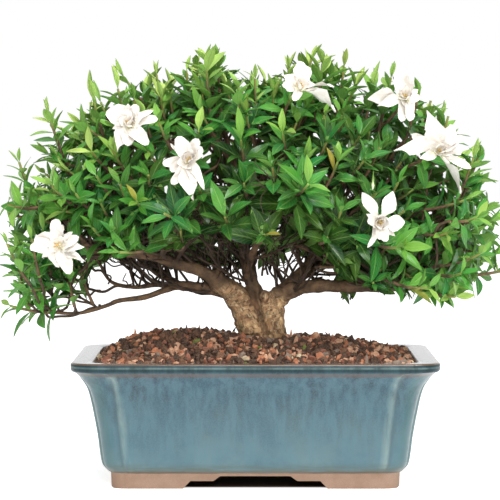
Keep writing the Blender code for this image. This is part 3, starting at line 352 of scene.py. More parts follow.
# Their petals: angle as seen from the front, length, width, opening from the axis, kind
# (0 pointed, 1 broad, 2 strap that widens to its end, 3 short inner); a bloom without a line
# of its own opens by rule
PETALS = {
    0: ((153, 22, 11, 76, 1), (128, 20, 9, 72, 1), (98, 17, 9, 74, 0), (69, 17, 9, 68, 1),
        (32, 22, 9, 76, 0), (10, 24, 9, 80, 1), (-46, 25, 10, 78, 1), (-86, 20, 11, 70, 1),
        (-114, 24, 6.5, 82, 0), (-164, 14, 7, 76, 0), (85, 14, 10, 34, 1), (-88, 12, 9, 34, 3),
        (170, 11, 8, 52, 3), (15, 12, 9, 42, 3), (50, 13, 8, 55, 3)),
    1: ((115, 21, 11, 72, 1), (98, 17, 9, 62, 1), (64, 19, 10, 72, 1), (42, 15, 8, 74, 1),
        (140, 20, 5, 84, 0), (188, 21, 8, 78, 1), (210, 17, 8, 74, 1), (236, 24, 9, 78, 1),
        (-87, 33, 9, 80, 0), (-60, 27, 8, 80, 0), (-72, 20, 9, 70, 1), (20, 12, 7, 76, 0),
        (90, 13, 10, 52, 3), (200, 12, 9, 58, 3), (-60, 12, 10, 56, 3), (10, 12, 9, 50, 3),
        (140, 10, 9, 34, 3), (-20, 10, 9, 30, 3)),
    2: ((78, 24, 10, 76, 1), (58, 21, 8, 72, 1), (0, 31, 8, 74, 0), (-33, 37, 6.5, 82, 0),
        (135, 17, 7, 80, 0), (175, 15, 8, 78, 1), (-122, 14, 8, 80, 1), (-15, 20, 7, 68, 0),
        (95, 13, 9, 34, 3), (-20, 12, 8, 38, 3), (200, 11, 8, 38, 3)),
    3: ((98, 25, 12, 72, 1), (78, 22, 10, 68, 1), (118, 15, 7, 78, 0), (182, 31, 7, 80, 2),
        (197, 24, 7, 78, 0), (-6, 12, 8, 74, 1), (28, 13, 7, 78, 0), (-84, 23, 11, 76, 1),
        (-102, 23, 10, 76, 1), (-60, 13, 6, 80, 0), (90, 13, 9, 34, 3), (200, 11, 8, 40, 3),
        (-80, 13, 9, 42, 3), (0, 10, 8, 38, 3)),
    4: ((105, 36, 10, 74, 0), (151, 28, 9.5, 76, 1), (173, 38, 6, 84, 0), (58, 26, 10, 74, 1),
        (84, 22, 9, 70, 1), (24, 27, 11, 76, 1), (-4, 20, 9, 76, 1), (-28, 32, 7, 80, 2),
        (-64, 40, 6.5, 82, 2), (128, 20, 9, 66, 1), (200, 18, 8, 76, 0), (118, 14, 9, 34, 3),
        (-10, 15, 10, 36, 3), (-120, 13, 8, 44, 3), (40, 14, 9, 40, 3)),
    5: ((121, 28, 8, 78, 2), (66, 27, 8, 78, 2), (-3, 20, 10, 76, 2), (-45, 17, 5, 78, 0),
        (-72, 17, 8, 72, 1), (-112, 23, 8, 80, 0), (-92, 15, 9, 66, 1), (178, 10, 7, 72, 1),
        (150, 12, 6, 70, 0), (90, 12, 10, 46, 3), (-30, 12, 10, 50, 3), (210, 12, 10, 48, 3),
        (30, 11, 9, 36, 3), (-90, 12, 9, 40, 3), (150, 10, 8, 30, 3)),
    6: ((97, 22, 11.5, 74, 1), (76, 18, 9, 70, 1), (135, 16, 8, 78, 0), (165, 22, 9, 78, 1),
        (186, 25, 9, 80, 1), (214, 17, 8, 72, 0), (-112, 14, 9, 70, 1), (-64, 26, 10.5, 80, 1),
        (-88, 18, 8, 76, 1), (-4, 23, 8, 72, 0), (20, 20, 9, 74, 1), (-30, 25, 5, 86, 0),
        (46, 16, 8, 76, 0), (62, 12, 8, 58, 3), (-120, 11, 8, 54, 3), (170, 11, 8, 46, 3)),
}
BLOOM_TUBE_LENGTH = 0.013
BLOOM_STALK = 0.034
# A bloom's calyx and tube: how far along the tube, radius, age
TUBE_STATIONS = (
    (-0.45, 0.0016, 0.0), (-0.30, 0.0027, 0.02), (-0.05, 0.0029, 0.10), (0.05, 0.0020, 0.35),
    (0.5, 0.0018, 0.7), (0.85, 0.0020, 1.0), (1.08, 0.0024, 1.0), (1.25, 0.0012, 1.0),
)
# The one small closed bud: its profile in metres at full size (distance, radius, age), then the
# stem's point that it hangs from, where it is, its way and its size
BUD_STATIONS = (
    (-0.030, 0.0011, 0.0), (-0.014, 0.0013, 0.0), (-0.008, 0.0024, 0.05), (-0.002, 0.0025, 0.15),
    (0.001, 0.0018, 0.4), (0.005, 0.0026, 0.7), (0.009, 0.0034, 0.9), (0.013, 0.0030, 1.0),
    (0.017, 0.0016, 1.0), (0.020, 0.0003, 1.0),
)
BUD = ((0.0942, -0.0854, 0.2845), (0.1018, -0.0860, 0.2676), (-0.05, -0.35, -0.94), 0.42)


def linear(red, green, blue):
    """A display colour of 0 to 255 as a linear one."""
    shares = (value / 255 for value in (red, green, blue))
    return tuple(v / 12.92 if v <= 0.04045 else ((v + 0.055) / 1.055) ** 2.4 for v in shares)


# Small helpers --------------------------------------------------------------------------


def within(value):
    """The value, kept between 0 and 1."""
    return max(0.0, min(1.0, value))


def stray(draw, *limits):
    return Vector([draw(*limits) for _ in range(3)])


def swung(angle, first, second):
    """The way at an angle from the first axis towards the second."""
    return math.cos(angle) * first + math.sin(angle) * second


def search_tree(points):
    tree = kdtree.KDTree(len(points))
    for index, point in enumerate(points):
        tree.insert(point, index)
    tree.balance()
    return tree


# Meshes ---------------------------------------------------------------------------------


def placed(name, data):
    obj = bpy.data.objects.new(name, data)
    bpy.context.scene.collection.objects.link(obj)
    return obj


def give(mesh, material):
    mesh.materials.clear()
    mesh.materials.append(material)


def soften(mesh, degrees):
    """Smooth shading, with the edges sharper than the angle left sharp."""
    mesh.shade_smooth()
    mesh.set_sharp_from_angle(angle=math.radians(degrees))


def finish_mesh(mesh, name, material=None, smooth_angle=None):
    """Puts a mesh into the scene as a piece at the origin."""
    if material is not None:
        give(mesh, material)
    if smooth_angle is not None:
        soften(mesh, smooth_angle)
    mesh.name = name
    return placed(name, mesh)


def mesh_from(made, name):
    bmesh.ops.recalc_face_normals(made, faces=made.faces)
    mesh = bpy.data.meshes.new(name)
    made.to_mesh(mesh)
    made.free()
    return mesh


def take(obj):
    """Removes a helper object and its mesh."""
    mesh = obj.data
    bpy.data.objects.remove(obj)
    if mesh.users == 0:
        bpy.data.meshes.remove(mesh)


def baked(obj):
    """The object with its modifiers applied, as a new mesh."""
    bpy.context.view_layer.update()
    graph = bpy.context.evaluated_depsgraph_get()
    mesh = bpy.data.meshes.new_from_object(obj.evaluated_get(graph))
    obj.modifiers.clear()
    return mesh


def verts_of(made, rows):
    return [[made.verts.new(point) for point in row] for row in rows]


def skin(made, rings):
    """Skins over rings that all hold the same number of vertices."""
    for low, high in zip(rings, rings[1:]):
        for i in range(len(low)):
            j = (i + 1) % len(low)
            made.faces.new((low[i], low[j], high[j], high[i]))


def skin_to_tips(made, rings, root, tip):
    skin(made, rings)
    first, last = rings[0], rings[-1]
    for i in range(len(first)):
        j = (i + 1) % len(first)
        made.faces.new((root, first[j], first[i]))
        made.faces.new((tip, last[i], last[j]))


def loft(rings):
    """A closed bmesh skinned over rings of points."""
    made = bmesh.new()
    rows = verts_of(made, rings)
    skin(made, rows)
    made.faces.new(rows[0])
    made.faces.new(rows[-1])
    return made


def skin_closed(made, rings):
    """Skins over rings of points into a bmesh, with a face on each end."""
    rows = verts_of(made, rings)
    skin(made, rows)
    made.faces.new(reversed(rows[0]))
    made.faces.new(rows[-1])


def sheet(rows, left_out=lambda middle: False):
    """A bmesh over rows of points, with its vertices; some cells may be left out."""
    made = bmesh.new()
    grid = verts_of(made, rows)
    for low, high in zip(grid, grid[1:]):
        for cell in zip(low, low[1:], high[1:], high):
            if not left_out(0.25 * (cell[0].co + cell[1].co + cell[2].co + cell[3].co)):
                made.faces.new(cell)
    return made, grid


def prism(points, direction):
    """A closed bmesh: a flat outline pushed along a direction."""
    made = bmesh.new()
    near = made.faces.new([made.verts.new(point) for point in points])
    pushed = bmesh.ops.extrude_face_region(made, geom=[near])["geom"]
    verts = [item for item in pushed if isinstance(item, bmesh.types.BMVert)]
    bmesh.ops.translate(made, verts=verts, vec=direction)
    return made


def carve(obj, cutters):
    """Cuts the cutters out of the object, applies it and removes them."""
    for cutter in cutters:
        modifier = obj.modifiers.new("cut", "BOOLEAN")
        modifier.operation, modifier.solver, modifier.object = "DIFFERENCE", "EXACT", cutter
    obj.data = baked(obj)
    for cutter in cutters:
        take(cutter)


STORE_AS = {"FLOAT": ("value", np.float32), "INT": ("value", np.int32),
            "FLOAT_VECTOR": ("vector", np.float32)}


def store(mesh, name, kind, values):
    field, number = STORE_AS[kind]
    attribute = mesh.attributes.new(name, kind, "POINT")
    attribute.data.foreach_set(field, np.array(values, number).ravel())


def through(stations, steps):
    """Points on a Catmull-Rom line through stations of four numbers."""
    fours = [Vector(station) for station in stations]
    ends = [2 * fours[0] - fours[1]] + fours + [2 * fours[-1] - fours[-2]]
    line = []
    for i in range(1, len(ends) - 2):
        a, b, c, d = ends[i - 1:i + 3]
        for step in range(steps):
            t = step / steps
            line.append(0.5 * ((2 * b) + (c - a) * t + (2 * a - 5 * b + 4 * c - d) * t * t
                               + (3 * b - a - 3 * c + d) * t ** 3))
    return line + [fours[-1]]


def smooth_line(points, steps):
    """A smooth line of (position, radius) through stations of (x, y, z, radius)."""
    return [(Vector(four[:3]), four[3]) for four in through(points, steps)]


def frames_along(points):
    """A right-handed pair of axes across each point of a line, turned as little as possible."""
    tangents = [(points[min(len(points) - 1, i + 1)] - points[max(0, i - 1)]).normalized()
                for i in range(len(points))]
    side = tangents[0].orthogonal().normalized()
    frames = []
    for i, tangent in enumerate(tangents):
        if i:
            side = tangents[i - 1].rotation_difference(tangent) @ side
        side = (side - side.dot(tangent) * tangent).normalized()
        frames.append((side, tangent.cross(side), tangent))
    return frames


def curve_between(start, start_way, end, end_way, steps):
    """Points on a cubic curve that leaves and arrives in the given directions."""
    pull = (end - start).length * 0.38
    a, b = start + start_way * pull, end - end_way * pull
    points = []
    for step in range(steps + 1):
        t = step / steps
        points.append(start * (1 - t) ** 3 + a * 3 * t * (1 - t) ** 2
                      + b * 3 * t * t * (1 - t) + end * t ** 3)
    return points


def read_table(table, x):
    """The height that a table of (x, height) gives at x."""
    if x <= table[0][0]:
        return table[0][1]
    for (x0, z0), (x1, z1) in zip(table, table[1:]):
        if x <= x1:
            return z0 + (z1 - z0) * (x - x0) / (x1 - x0)
    return table[-1][1]


# Node trees -----------------------------------------------------------------------------


def add(tree, kind, inputs=None, **settings):
    """Adds a node: its settings, and its inputs, where a socket is linked and a value is set."""
    node = tree.nodes.new(kind)
    for name, value in settings.items():
        setattr(node, name, value)
    for key, value in (inputs or {}).items():
        if isinstance(value, bpy.types.NodeSocket):
            tree.links.new(value, node.inputs[key])
        else:
            node.inputs[key].default_value = value
    return node


def new_group(name, kind, inputs, outputs):
    """An empty node group with its named sockets: (name, type, default, lowest, highest)."""
    tree = bpy.data.node_groups.new(name, kind)
    for label, socket, *values in inputs:
        item = tree.interface.new_socket(label, in_out="INPUT", socket_type=f"NodeSocket{socket}")
        if values:
            item.default_value = values[0]
        if len(values) > 1:
            item.min_value, item.max_value = values[1:3]
    for label, socket in outputs:
        tree.interface.new_socket(label, in_out="OUTPUT", socket_type=f"NodeSocket{socket}")
    return tree, tree.nodes.new("NodeGroupInput").outputs, tree.nodes.new("NodeGroupOutput")


def geometry_group(name, inputs):
    """A group that takes geometry, its own inputs and a material, and gives geometry."""
    shape = ("Geometry", "Geometry")
    return new_group(name, "GeometryNodeTree", (shape, *inputs, ("Material", "Material")), (shape,))


def math_node(tree, operation, first, second=0.0):
    return add(tree, "ShaderNodeMath", {0: first, 1: second}, operation=operation).outputs[0]


def times(tree, first, *others):
    """The product of sockets and numbers."""
    for other in others:
        first = math_node(tree, "MULTIPLY", first, other)
    return first


def minus(tree, first, second):
    return math_node(tree, "SUBTRACT", first, second)


def remap(tree, value, low, high, to_low=0.0, to_high=1.0, smooth=False):
    return add(tree, "ShaderNodeMapRange", {
        "Value": value, "From Min": low, "From Max": high, "To Min": to_low, "To Max": to_high},
        interpolation_type="SMOOTHSTEP" if smooth else "LINEAR").outputs[0]


def between(tree, share, at_none, at_full):
    return remap(tree, share, 0.0, 1.0, at_none, at_full)


def mix(tree, share, first, second):
    return add(tree, "ShaderNodeMix", {0: share, 2: first, 3: second}).outputs[0]


def as_input(colour):
    """A socket as it is, or red, green and blue as a full colour."""
    return colour if isinstance(colour, bpy.types.NodeSocket) else (*colour, 1.0)


def blend_colours(tree, share, first, second, how="MIX"):
    return add(tree, "ShaderNodeMix", {0: share, 6: as_input(first), 7: as_input(second)},
               data_type="RGBA", blend_type=how).outputs[2]


def ramp(tree, value, look, stops, how="LINEAR"):
    """A colour ramp of stops: the place, and the name that the look has for the colour."""
    node = add(tree, "ShaderNodeValToRGB", {0: value})
    node.color_ramp.interpolation = how
    elements = node.color_ramp.elements
    while len(elements) > 1:
        elements.remove(elements[-1])
    for number, (place, name) in enumerate(stops):
        element = elements.new(place) if number else elements[0]
        element.position, element.color = place, as_input(getattr(look, name))
    return node.outputs[0]


def noise_of(tree, place, scale, detail=3.0, roughness=0.5, distortion=0.0):
    return add(tree, "ShaderNodeTexNoise",
               {"Vector": place, "Scale": scale, "Detail": detail, "Roughness": roughness,
                "Distortion": distortion}).outputs["Fac"]


def once(name, make):
    """A shared node group, built the first time that it is asked for."""
    return bpy.data.node_groups.get(name) or make(name)


def make_colour_drift(name):
    """Shifts a colour towards another in soft patches."""
    grey = (0.5, 0.5, 0.5, 1)
    tree, given, out = new_group(name, "ShaderNodeTree", (
        ("Place", "Vector"), ("Colour", "Color", grey), ("Other", "Color", grey),
        ("Scale", "Float", 30.0, 0.0, 5000.0), ("Spread", "Float", 0.2, 0.0, 1.0),
        ("Most", "Float", 1.0, 0.0, 1.0)), (("Colour", "Color"), ("Mask", "Float")))
    patches = noise_of(tree, given["Place"], given["Scale"], 4.0, 0.6)
    half = times(tree, given["Spread"], 0.5)
    low, high = minus(tree, 0.5, half), math_node(tree, "ADD", 0.5, half)
    mask = times(tree, remap(tree, patches, low, high, smooth=True), given["Most"])
    tree.links.new(blend_colours(tree, mask, given["Colour"], given["Other"]), out.inputs["Colour"])
    tree.links.new(mask, out.inputs["Mask"])
    return tree


def make_fine_relief(name):
    """Height of a surface at two scales, for a bump."""
    tree, given, out = new_group(name, "ShaderNodeTree", (
        ("Place", "Vector"), ("Coarse", "Float", 100.0, 0.0, 9000.0), ("Fine", "Float", 600.0, 0.0, 9000.0),
        ("Share", "Float", 0.4, 0.0, 1.0)), (("Height", "Float"),))
    coarse = noise_of(tree, given["Place"], given["Coarse"], 3.0)
    fine = noise_of(tree, given["Place"], given["Fine"], 2.0)
    tree.links.new(mix(tree, given["Share"], coarse, fine), out.inputs["Height"])
    return tree


def drift(tree, place, colour, other, scale, spread, most=1.0):
    """Places the shared colour drift; returns its colour and mask."""
    return add(tree, "ShaderNodeGroup", {
        "Place": place, "Colour": as_input(colour), "Other": as_input(other), "Scale": scale,
        "Spread": spread, "Most": most}, node_tree=once("colour drift", make_colour_drift)).outputs


def drifted(*values):
    return drift(*values)[0]


def relief(tree, place, coarse, fine, share):
    return add(tree, "ShaderNodeGroup", {"Place": place, "Coarse": coarse, "Fine": fine, "Share": share},
               node_tree=once("fine relief", make_fine_relief)).outputs[0]


def bump(tree, height, distance, strength=1.0):
    return add(tree, "ShaderNodeBump", {
        "Height": height, "Distance": distance, "Strength": strength}).outputs[0]


def new_material(name, **sockets):
    """An empty Principled material; returns it, its tree, its shader and object coordinates."""
    material = bpy.data.materials.new(name)
    material.use_nodes = True
    tree = material.node_tree
    shader = tree.nodes["Principled BSDF"]
    for label, value in sockets.items():
        shader.inputs[label.replace("_", " ")].default_value = value
    place = add(tree, "ShaderNodeTexCoord").outputs["Object"]
    return material, tree, shader, place


def set_up(tree, shader, **sockets):
    for label, value in sockets.items():
        tree.links.new(value, shader.inputs[label.replace("_", " ")])


def attribute(tree, name, output="Fac"):
    return add(tree, "ShaderNodeAttribute", attribute_name=name).outputs[output]


def parts_of(tree, vector):
    return add(tree, "ShaderNodeSeparateXYZ", {0: vector}).outputs


def blade_parts(tree):
    """Along a blade, across it, and its side."""
    return parts_of(tree, attribute(tree, "blade", "Vector"))


def stretched(tree, place, scale):
    return add(tree, "ShaderNodeMapping", {"Vector": place, "Scale": scale}).outputs[0]


# Materials ------------------------------------------------------------------------------


def glaze_material(look):
    material, tree, shader, place = new_material(
        "blue_glaze_look", Coat_Roughness=0.04, IOR=1.45, Specular_IOR_Level=0.35)
    height = parts_of(tree, place)[2]
    runs = stretched(tree, place, (1.0, 1.0, 0.16))
    wobble = noise_of(tree, runs, 90.0, 4.0, 0.65)
    stains = noise_of(tree, runs, 60.0, 5.0, 0.7)
    layers = noise_of(tree, stretched(tree, place, (0.10, 0.10, 1.0)), 420.0, 4.0, 0.6)

    def from_to(start, full):
        """The share of the way from the height where a band starts to where it is full."""
        return remap(tree, height, start, full, smooth=True)

    # Lighter towards the feet, in part a painted reflection of the white floor
    body = blend_colours(tree, remap(tree, height, 0.020, 0.098), look.glaze_low_and_reflection, look.glaze_colour)
    body = drifted(tree, place, body, look.glaze_shadow, 34.0, 0.34, 0.55)
    body = drifted(tree, runs, body, look.glaze_light, 150.0, 0.30, 0.55)
    body = drifted(tree, place, body, look.glaze_light, 900.0, 0.16, 0.30)
    # The glaze is thin and brown where it runs off edges, and pools in the grooves; painted highlights on
    # the edges and the rim's face, and a painted shadow under the lip
    for colour, *masks in (
            # Lighter panel edges: the glaze breaking over them, and a painted highlight
            (look.edge_break_and_highlight, attribute(tree, "edge"), remap(tree, wobble, 0.30, 0.62), 0.80),
            (look.corner_colour, attribute(tree, "corner"), remap(tree, wobble, 0.2, 0.7, 0.55, 0.25)),
            (look.pooled_colour, attribute(tree, "groove"), 0.45),
            (look.stain_colour, from_to(0.085, 0.100), remap(tree, stains, 0.55, 0.72), 0.28),
            (look.rim_colour, from_to(0.1018, 0.1050), remap(tree, wobble, 0.2, 0.7, 0.95, 0.55)),
            (look.lip_line_and_shadow, attribute(tree, "lip"), remap(tree, wobble, 0.22, 0.50, 0.45, 1.0)),
            (look.thin_colour, from_to(0.0255, 0.0160), remap(tree, layers, 0.34, 0.60, 0.25, 0.95)),
            (look.lip_line_and_shadow, from_to(0.0164, 0.0150), 0.55),
            # Painted highlight: a lighter line along the middle of the rim's face
            (look.edge_break_and_highlight, from_to(0.1062, 0.1074), from_to(0.1088, 0.1078),
             remap(tree, wobble, 0.3, 0.6, 0.05, 0.40)),
            # Painted shadow: a brown band under the rim's lip
            (look.lip_line_and_shadow, from_to(0.0985, 0.1008), from_to(0.1035, 0.1020), 0.55)):
        body = blend_colours(tree, times(tree, *masks), body, colour)
    clay = drifted(tree, place, look.clay_colour, look.clay_dark, 70.0, 0.4, 0.7)
    clay = drifted(tree, place, clay, look.clay_dark, 1400.0, 0.12, 0.35)
    ragged = math_node(tree, "ADD", height, times(tree, wobble, 0.0012))
    bare = math_node(tree, "MAXIMUM", remap(tree, ragged, 0.0146, 0.0141), attribute(tree, "inside"))
    gloss = remap(tree, noise_of(tree, place, 260.0, 3.0), 0.3, 0.7, 0.32, 0.46)
    flange = remap(tree, height, 0.1100, 0.1109)
    face = times(tree, remap(tree, height, 0.1025, 0.1050), remap(tree, height, 0.1106, 0.1096))
    coat = times(tree, minus(tree, 1.0, bare), between(tree, flange, 0.22, 1.0),
                 between(tree, face, 1.0, 0.15))
    set_up(tree, shader, Base_Color=blend_colours(tree, bare, body, clay),
           Roughness=mix(tree, bare, gloss, 0.82), Coat_Weight=coat,
           Specular_IOR_Level=between(tree, face, 0.35, 0.16),
           Normal=bump(tree, relief(tree, place, 90.0, 1300.0, 0.3), 0.0003, 0.4))
    return material


def screen_material():
    material, tree, shader, place = new_material("screen_plastic_look", IOR=1.46)
    colour, mask = drift(tree, place, (0.030, 0.031, 0.030), (0.075, 0.066, 0.052), 300.0, 0.3, 0.8)
    set_up(tree, shader, Base_Color=colour, Roughness=between(tree, mask, 0.45, 0.8),
           Normal=bump(tree, relief(tree, place, 800.0, 3000.0, 0.4), 0.0002, 0.5))
    return material


def granule_material(look, bed=False):
    """Granules of many tones; the bed under them blends its tones and is darkened, painted shade between the
    granules.
    """
    material, tree, shader, place = new_material("soil_bed_look" if bed else "granules_look")
    tone = remap(tree, noise_of(tree, place, 260.0, 4.0, 0.7), 0.3, 0.7) if bed else attribute(tree, "tone")
    colour = ramp(tree, tone, look, (
        (0.00, "soil_black"), (0.29, "soil_grey"), (0.33, "soil_dark"), (0.46, "soil_red"),
        (0.59, "soil_orange"), (0.70, "soil_brown"), (0.83, "soil_tan"), (0.965, "soil_pale"),
        (0.988, "soil_green")), "LINEAR" if bed else "CONSTANT")
    colour = drifted(tree, place, colour, look.soil_dark, 420.0, 0.35, 0.30)
    colour = drifted(tree, place, colour, look.soil_tan, 1900.0, 0.22, 0.22)
    # Painted shade: the bed between the granules is darkened to a quarter
    colour = blend_colours(tree, 1.0, colour, (0.25 if bed else 1.0,) * 3, "MULTIPLY")
    grain = relief(tree, place, 500.0, 2200.0, 0.5)
    set_up(tree, shader, Base_Color=colour, Roughness=remap(tree, grain, 0.3, 0.7, 0.75, 1.0),
           Normal=bump(tree, grain, 0.0009, 0.9))
    return material


def bark_material(look, name, twig=False):
    """Flaky tan bark on the trunk, darker on the limbs, red-brown to green on young wood; painted shade
    darkens the groove between the trunks, the left stem and the twigs under the canopy.
    """
    material, tree, shader, place = new_material(name)
    age = attribute(tree, "age")
    grain = place if twig else attribute(tree, "grain", "Vector")
    limb = drifted(tree, place, look.limb_colour, look.limb_dark, 130.0, 0.4, 0.8)
    flakes = noise_of(tree, grain, 240.0, 6.0, 0.70, 0.4)
    if twig:
        # Painted shade: the higher the age, the nearer to the dark colour of twigs under the canopy
        wood = blend_colours(tree, remap(tree, age, 0.44, 0.56, 0.0, 0.85), limb, look.shaded_twig_colour)
        young = drifted(tree, place, look.twig_green, look.twig_red, 90.0, 0.3, 0.4)
        wood = blend_colours(tree, remap(tree, age, 0.04, 0.17), young, wood)
    else:
        trunk = drifted(tree, grain, look.bark_colour, look.bark_light, 120.0, 0.22, 0.9)
        trunk = drifted(tree, grain, trunk, look.bark_red, 75.0, 0.25, 0.5)
        trunk = blend_colours(tree, remap(tree, flakes, 0.54, 0.40, 0.0, 0.92), trunk, look.bark_dark)
        for over, scale, fineness, share, colour in (
                (grain, 420.0, (0.52, 0.68), 0.60, look.bark_pale),
                (place, 60.0, (0.52, 0.66), 0.35, look.bark_green)):
            patches = remap(tree, noise_of(tree, over, scale, 4.0, 0.6), *fineness)
            trunk = blend_colours(tree, times(tree, patches, share), trunk, colour)
        wood = blend_colours(tree, remap(tree, age, 0.45, 0.85, smooth=True), limb, trunk)
        # Darker in cracks, with painted shade in the groove between the trunks and on the left stem
        wood = blend_colours(tree, times(tree, attribute(tree, "hollow"), 0.80), wood, look.bark_dark)
    height = relief(tree, grain, 260.0, 1500.0, 0.35)
    set_up(tree, shader, Base_Color=wood, Roughness=remap(tree, flakes, 0.3, 0.7, 0.95, 0.72),
           Normal=bump(tree, height, 0.0004 if twig else 0.0012, 0.9))
    return material


def leaf_material(look):
    """Glossy leaves: dark when mature, yellow-green when young, darkest inside the canopy with painted
    shade, with veins and a paler back.
    """
    material, tree, shader, place = new_material(
        "leaf_look", Coat_Roughness=0.14, IOR=1.45, Specular_IOR_Level=0.20)
    along, across, side = blade_parts(tree)
    wide = math_node(tree, "ABSOLUTE", across)
    upper = ramp(tree, attribute(tree, "tone"), look, (
        (0.0, "leaf_inner_shade"), (0.14, "leaf_deep"), (0.36, "leaf_dark"), (0.62, "leaf_mid"),
        (0.84, "leaf_light"), (1.0, "leaf_tip")))
    upper = drifted(tree, place, upper, look.leaf_olive, 26.0, 0.30, 0.30)
    deeper = blend_colours(tree, 1.0, upper, (0.55, 0.62, 0.50), "MULTIPLY")
    clouds = remap(tree, noise_of(tree, place, 45.0, 3.0), 0.42, 0.62)
    upper = blend_colours(tree, times(tree, clouds, 0.55), upper, deeper)
    midrib = remap(tree, wide, 0.17, 0.04, smooth=True)
    slope = minus(tree, times(tree, along, 8.0), times(tree, wide, 2.2))
    wave = math_node(tree, "SINE", times(tree, slope, math.tau))
    ribs = times(tree, remap(tree, wave, 0.72, 1.0, smooth=True), remap(tree, wide, 1.0, 0.75))
    veins = math_node(tree, "MAXIMUM", midrib, times(tree, ribs, 0.42))
    vein_colour = blend_colours(tree, 0.55, upper, look.vein_colour)
    upper = blend_colours(tree, times(tree, veins, 0.42), upper, vein_colour)
    upper = blend_colours(tree, attribute(tree, "turned"), upper, look.leaf_turned)
    back = blend_colours(tree, 0.55, upper, look.leaf_back)
    under = remap(tree, side, -0.02, -0.06)
    gloss = remap(tree, noise_of(tree, place, 160.0, 2.0), 0.3, 0.7, 0.30, 0.46)
    height = minus(tree, times(tree, noise_of(tree, place, 420.0, 2.0), 0.35), veins)
    set_up(tree, shader, Base_Color=blend_colours(tree, under, upper, back),
           Roughness=mix(tree, under, gloss, 0.68), Coat_Weight=times(tree, minus(tree, 1.0, under), 0.18),
           Normal=bump(tree, height, 0.0005, 0.8))
    return material


def petal_material(look):
    """Waxy white, with grey-pink patches and faint lines along the petal that are partly painted shade of
    its folds, and yellower in the throat.
    """
    material, tree, shader, place = new_material("petal_look", IOR=1.42)
    along, across, _ = blade_parts(tree)
    wide = math_node(tree, "ABSOLUTE", across)
    # Grey-pink patches, partly painted shade
    white = drifted(tree, place, look.petal_colour, look.petal_shade, 130.0, 0.30, 0.65)
    throat = remap(tree, along, 0.26, 0.02, smooth=True)
    colour = blend_colours(tree, times(tree, throat, 0.7), white, look.petal_throat)
    lines = math_node(tree, "SINE", times(tree, across, 26.0))
    lines = times(tree, remap(tree, lines, 0.3, 1.0), remap(tree, wide, 1.0, 0.6, 0.0, 0.22))
    # Faint lines along the petal, partly painted shade of its folds
    colour = blend_colours(tree, lines, colour, look.petal_shade)
    height = minus(tree, noise_of(tree, place, 300.0, 3.0), times(tree, lines, 1.2))
    set_up(tree, shader, Base_Color=colour, Roughness=between(tree, wide, 0.42, 0.55),
           Normal=bump(tree, height, 0.0005, 0.6))
    return material


def heart_material(look):
    """Pollen-yellow anthers with brown tips."""
    material, tree, shader, place = new_material("flower_heart_look")
    along = blade_parts(tree)[0]
    tips = ramp(tree, along, look, ((0.0, "heart_green"), (0.25, "heart_yellow"), (0.8, "heart_brown")))
    colour = drifted(tree, place, tips, look.heart_yellow, 900.0, 0.3, 0.5)
    set_up(tree, shader, Base_Color=colour, Roughness=between(tree, along, 0.5, 0.85),
           Normal=bump(tree, relief(tree, place, 1500.0, 5000.0, 0.5), 0.0003, 0.7))
    return material


def tube_material(look):
    """The pale green calyx, tube and bud, whiter towards the tip."""
    material, tree, shader, place = new_material("calyx_look")
    age = attribute(tree, "age")
    green = ramp(tree, age, look, ((0.0, "calyx_green"), (0.45, "tube_green"), (1.0, "petal_colour")))
    colour = drifted(tree, place, green, look.calyx_green, 240.0, 0.3, 0.35)
    set_up(tree, shader, Base_Color=colour, Roughness=between(tree, age, 0.5, 0.42),
           Normal=bump(tree, relief(tree, place, 500.0, 2000.0, 0.4), 0.0003, 0.6))
    return material


def floor_material(look):
    """A floor that glows a little, so that it stays white, but not under the pot, where a dark colour paints
    the pot's shadow.
    """
    material, tree, shader, place = new_material("floor_look", Roughness=0.9, Specular_IOR_Level=0.1,
                                                 Emission_Color=(1, 1, 1, 1))
    colour = drifted(tree, place, look.floor_colour, look.floor_shade, 3.0, 0.4, 0.5)
    spot = parts_of(tree, place)
    pot_shadow_share = times(tree, *(
        remap(tree, math_node(tree, "ABSOLUTE", spot[i]), size - 0.004, size - 0.016, smooth=True)
        for i, size in enumerate((RIM_HALF_X - FOOT_INSET, RIM_HALF_Y - FOOT_INSET))))
    set_up(tree, shader, Base_Color=blend_colours(tree, pot_shadow_share, colour, look.floor_pot_shadow),
           Emission_Strength=between(tree, pot_shadow_share, 0.70, 0.0))
    return material


# Geometry trees -------------------------------------------------------------------------


def read(tree, name, kind="FLOAT"):
    return add(tree, "GeometryNodeInputNamedAttribute", {"Name": name}, data_type=kind).outputs[0]


# Sockets of a random value: lowest, highest, result
RANDOM_SOCKETS = {"FLOAT_VECTOR": (0, 1, 0), "FLOAT": (2, 3, 1), "INT": (4, 5, 2)}


def random_value(tree, kind, low, high, seed):
    least, most, result = RANDOM_SOCKETS[kind]
    return add(tree, "FunctionNodeRandomValue", {least: low, most: high, "Seed": seed},
               data_type=kind).outputs[result]


def end_tree(tree, geometry, given, out, smooth):
    """Realizes, shades and gives the material, as each tree ends."""
    real = add(tree, "GeometryNodeRealizeInstances", {"Geometry": geometry}).outputs[0]
    shaded = add(tree, "GeometryNodeSetShadeSmooth", {
        "Geometry": real, "Shade Smooth": smooth}).outputs[0]
    done = add(tree, "GeometryNodeSetMaterial", {
        "Geometry": shaded, "Material": given["Material"]}).outputs[0]
    tree.links.new(done, out.inputs["Geometry"])
    return tree


def end_with_copies(tree, given, out, points, kind, turn, size, smooth):
    """Copies the shape of each point's kind to the point, and ends the tree."""
    shapes = add(tree, "GeometryNodeCollectionInfo", {
        "Collection": given["Shapes"], "Separate Children": True, "Reset Children": True}).outputs[0]
    copies = add(tree, "GeometryNodeInstanceOnPoints", {
        "Points": points, "Instance": shapes, "Pick Instance": True, "Instance Index": kind,
        "Rotation": turn, "Scale": size}).outputs[0]
    return end_tree(tree, copies, given, out, smooth)


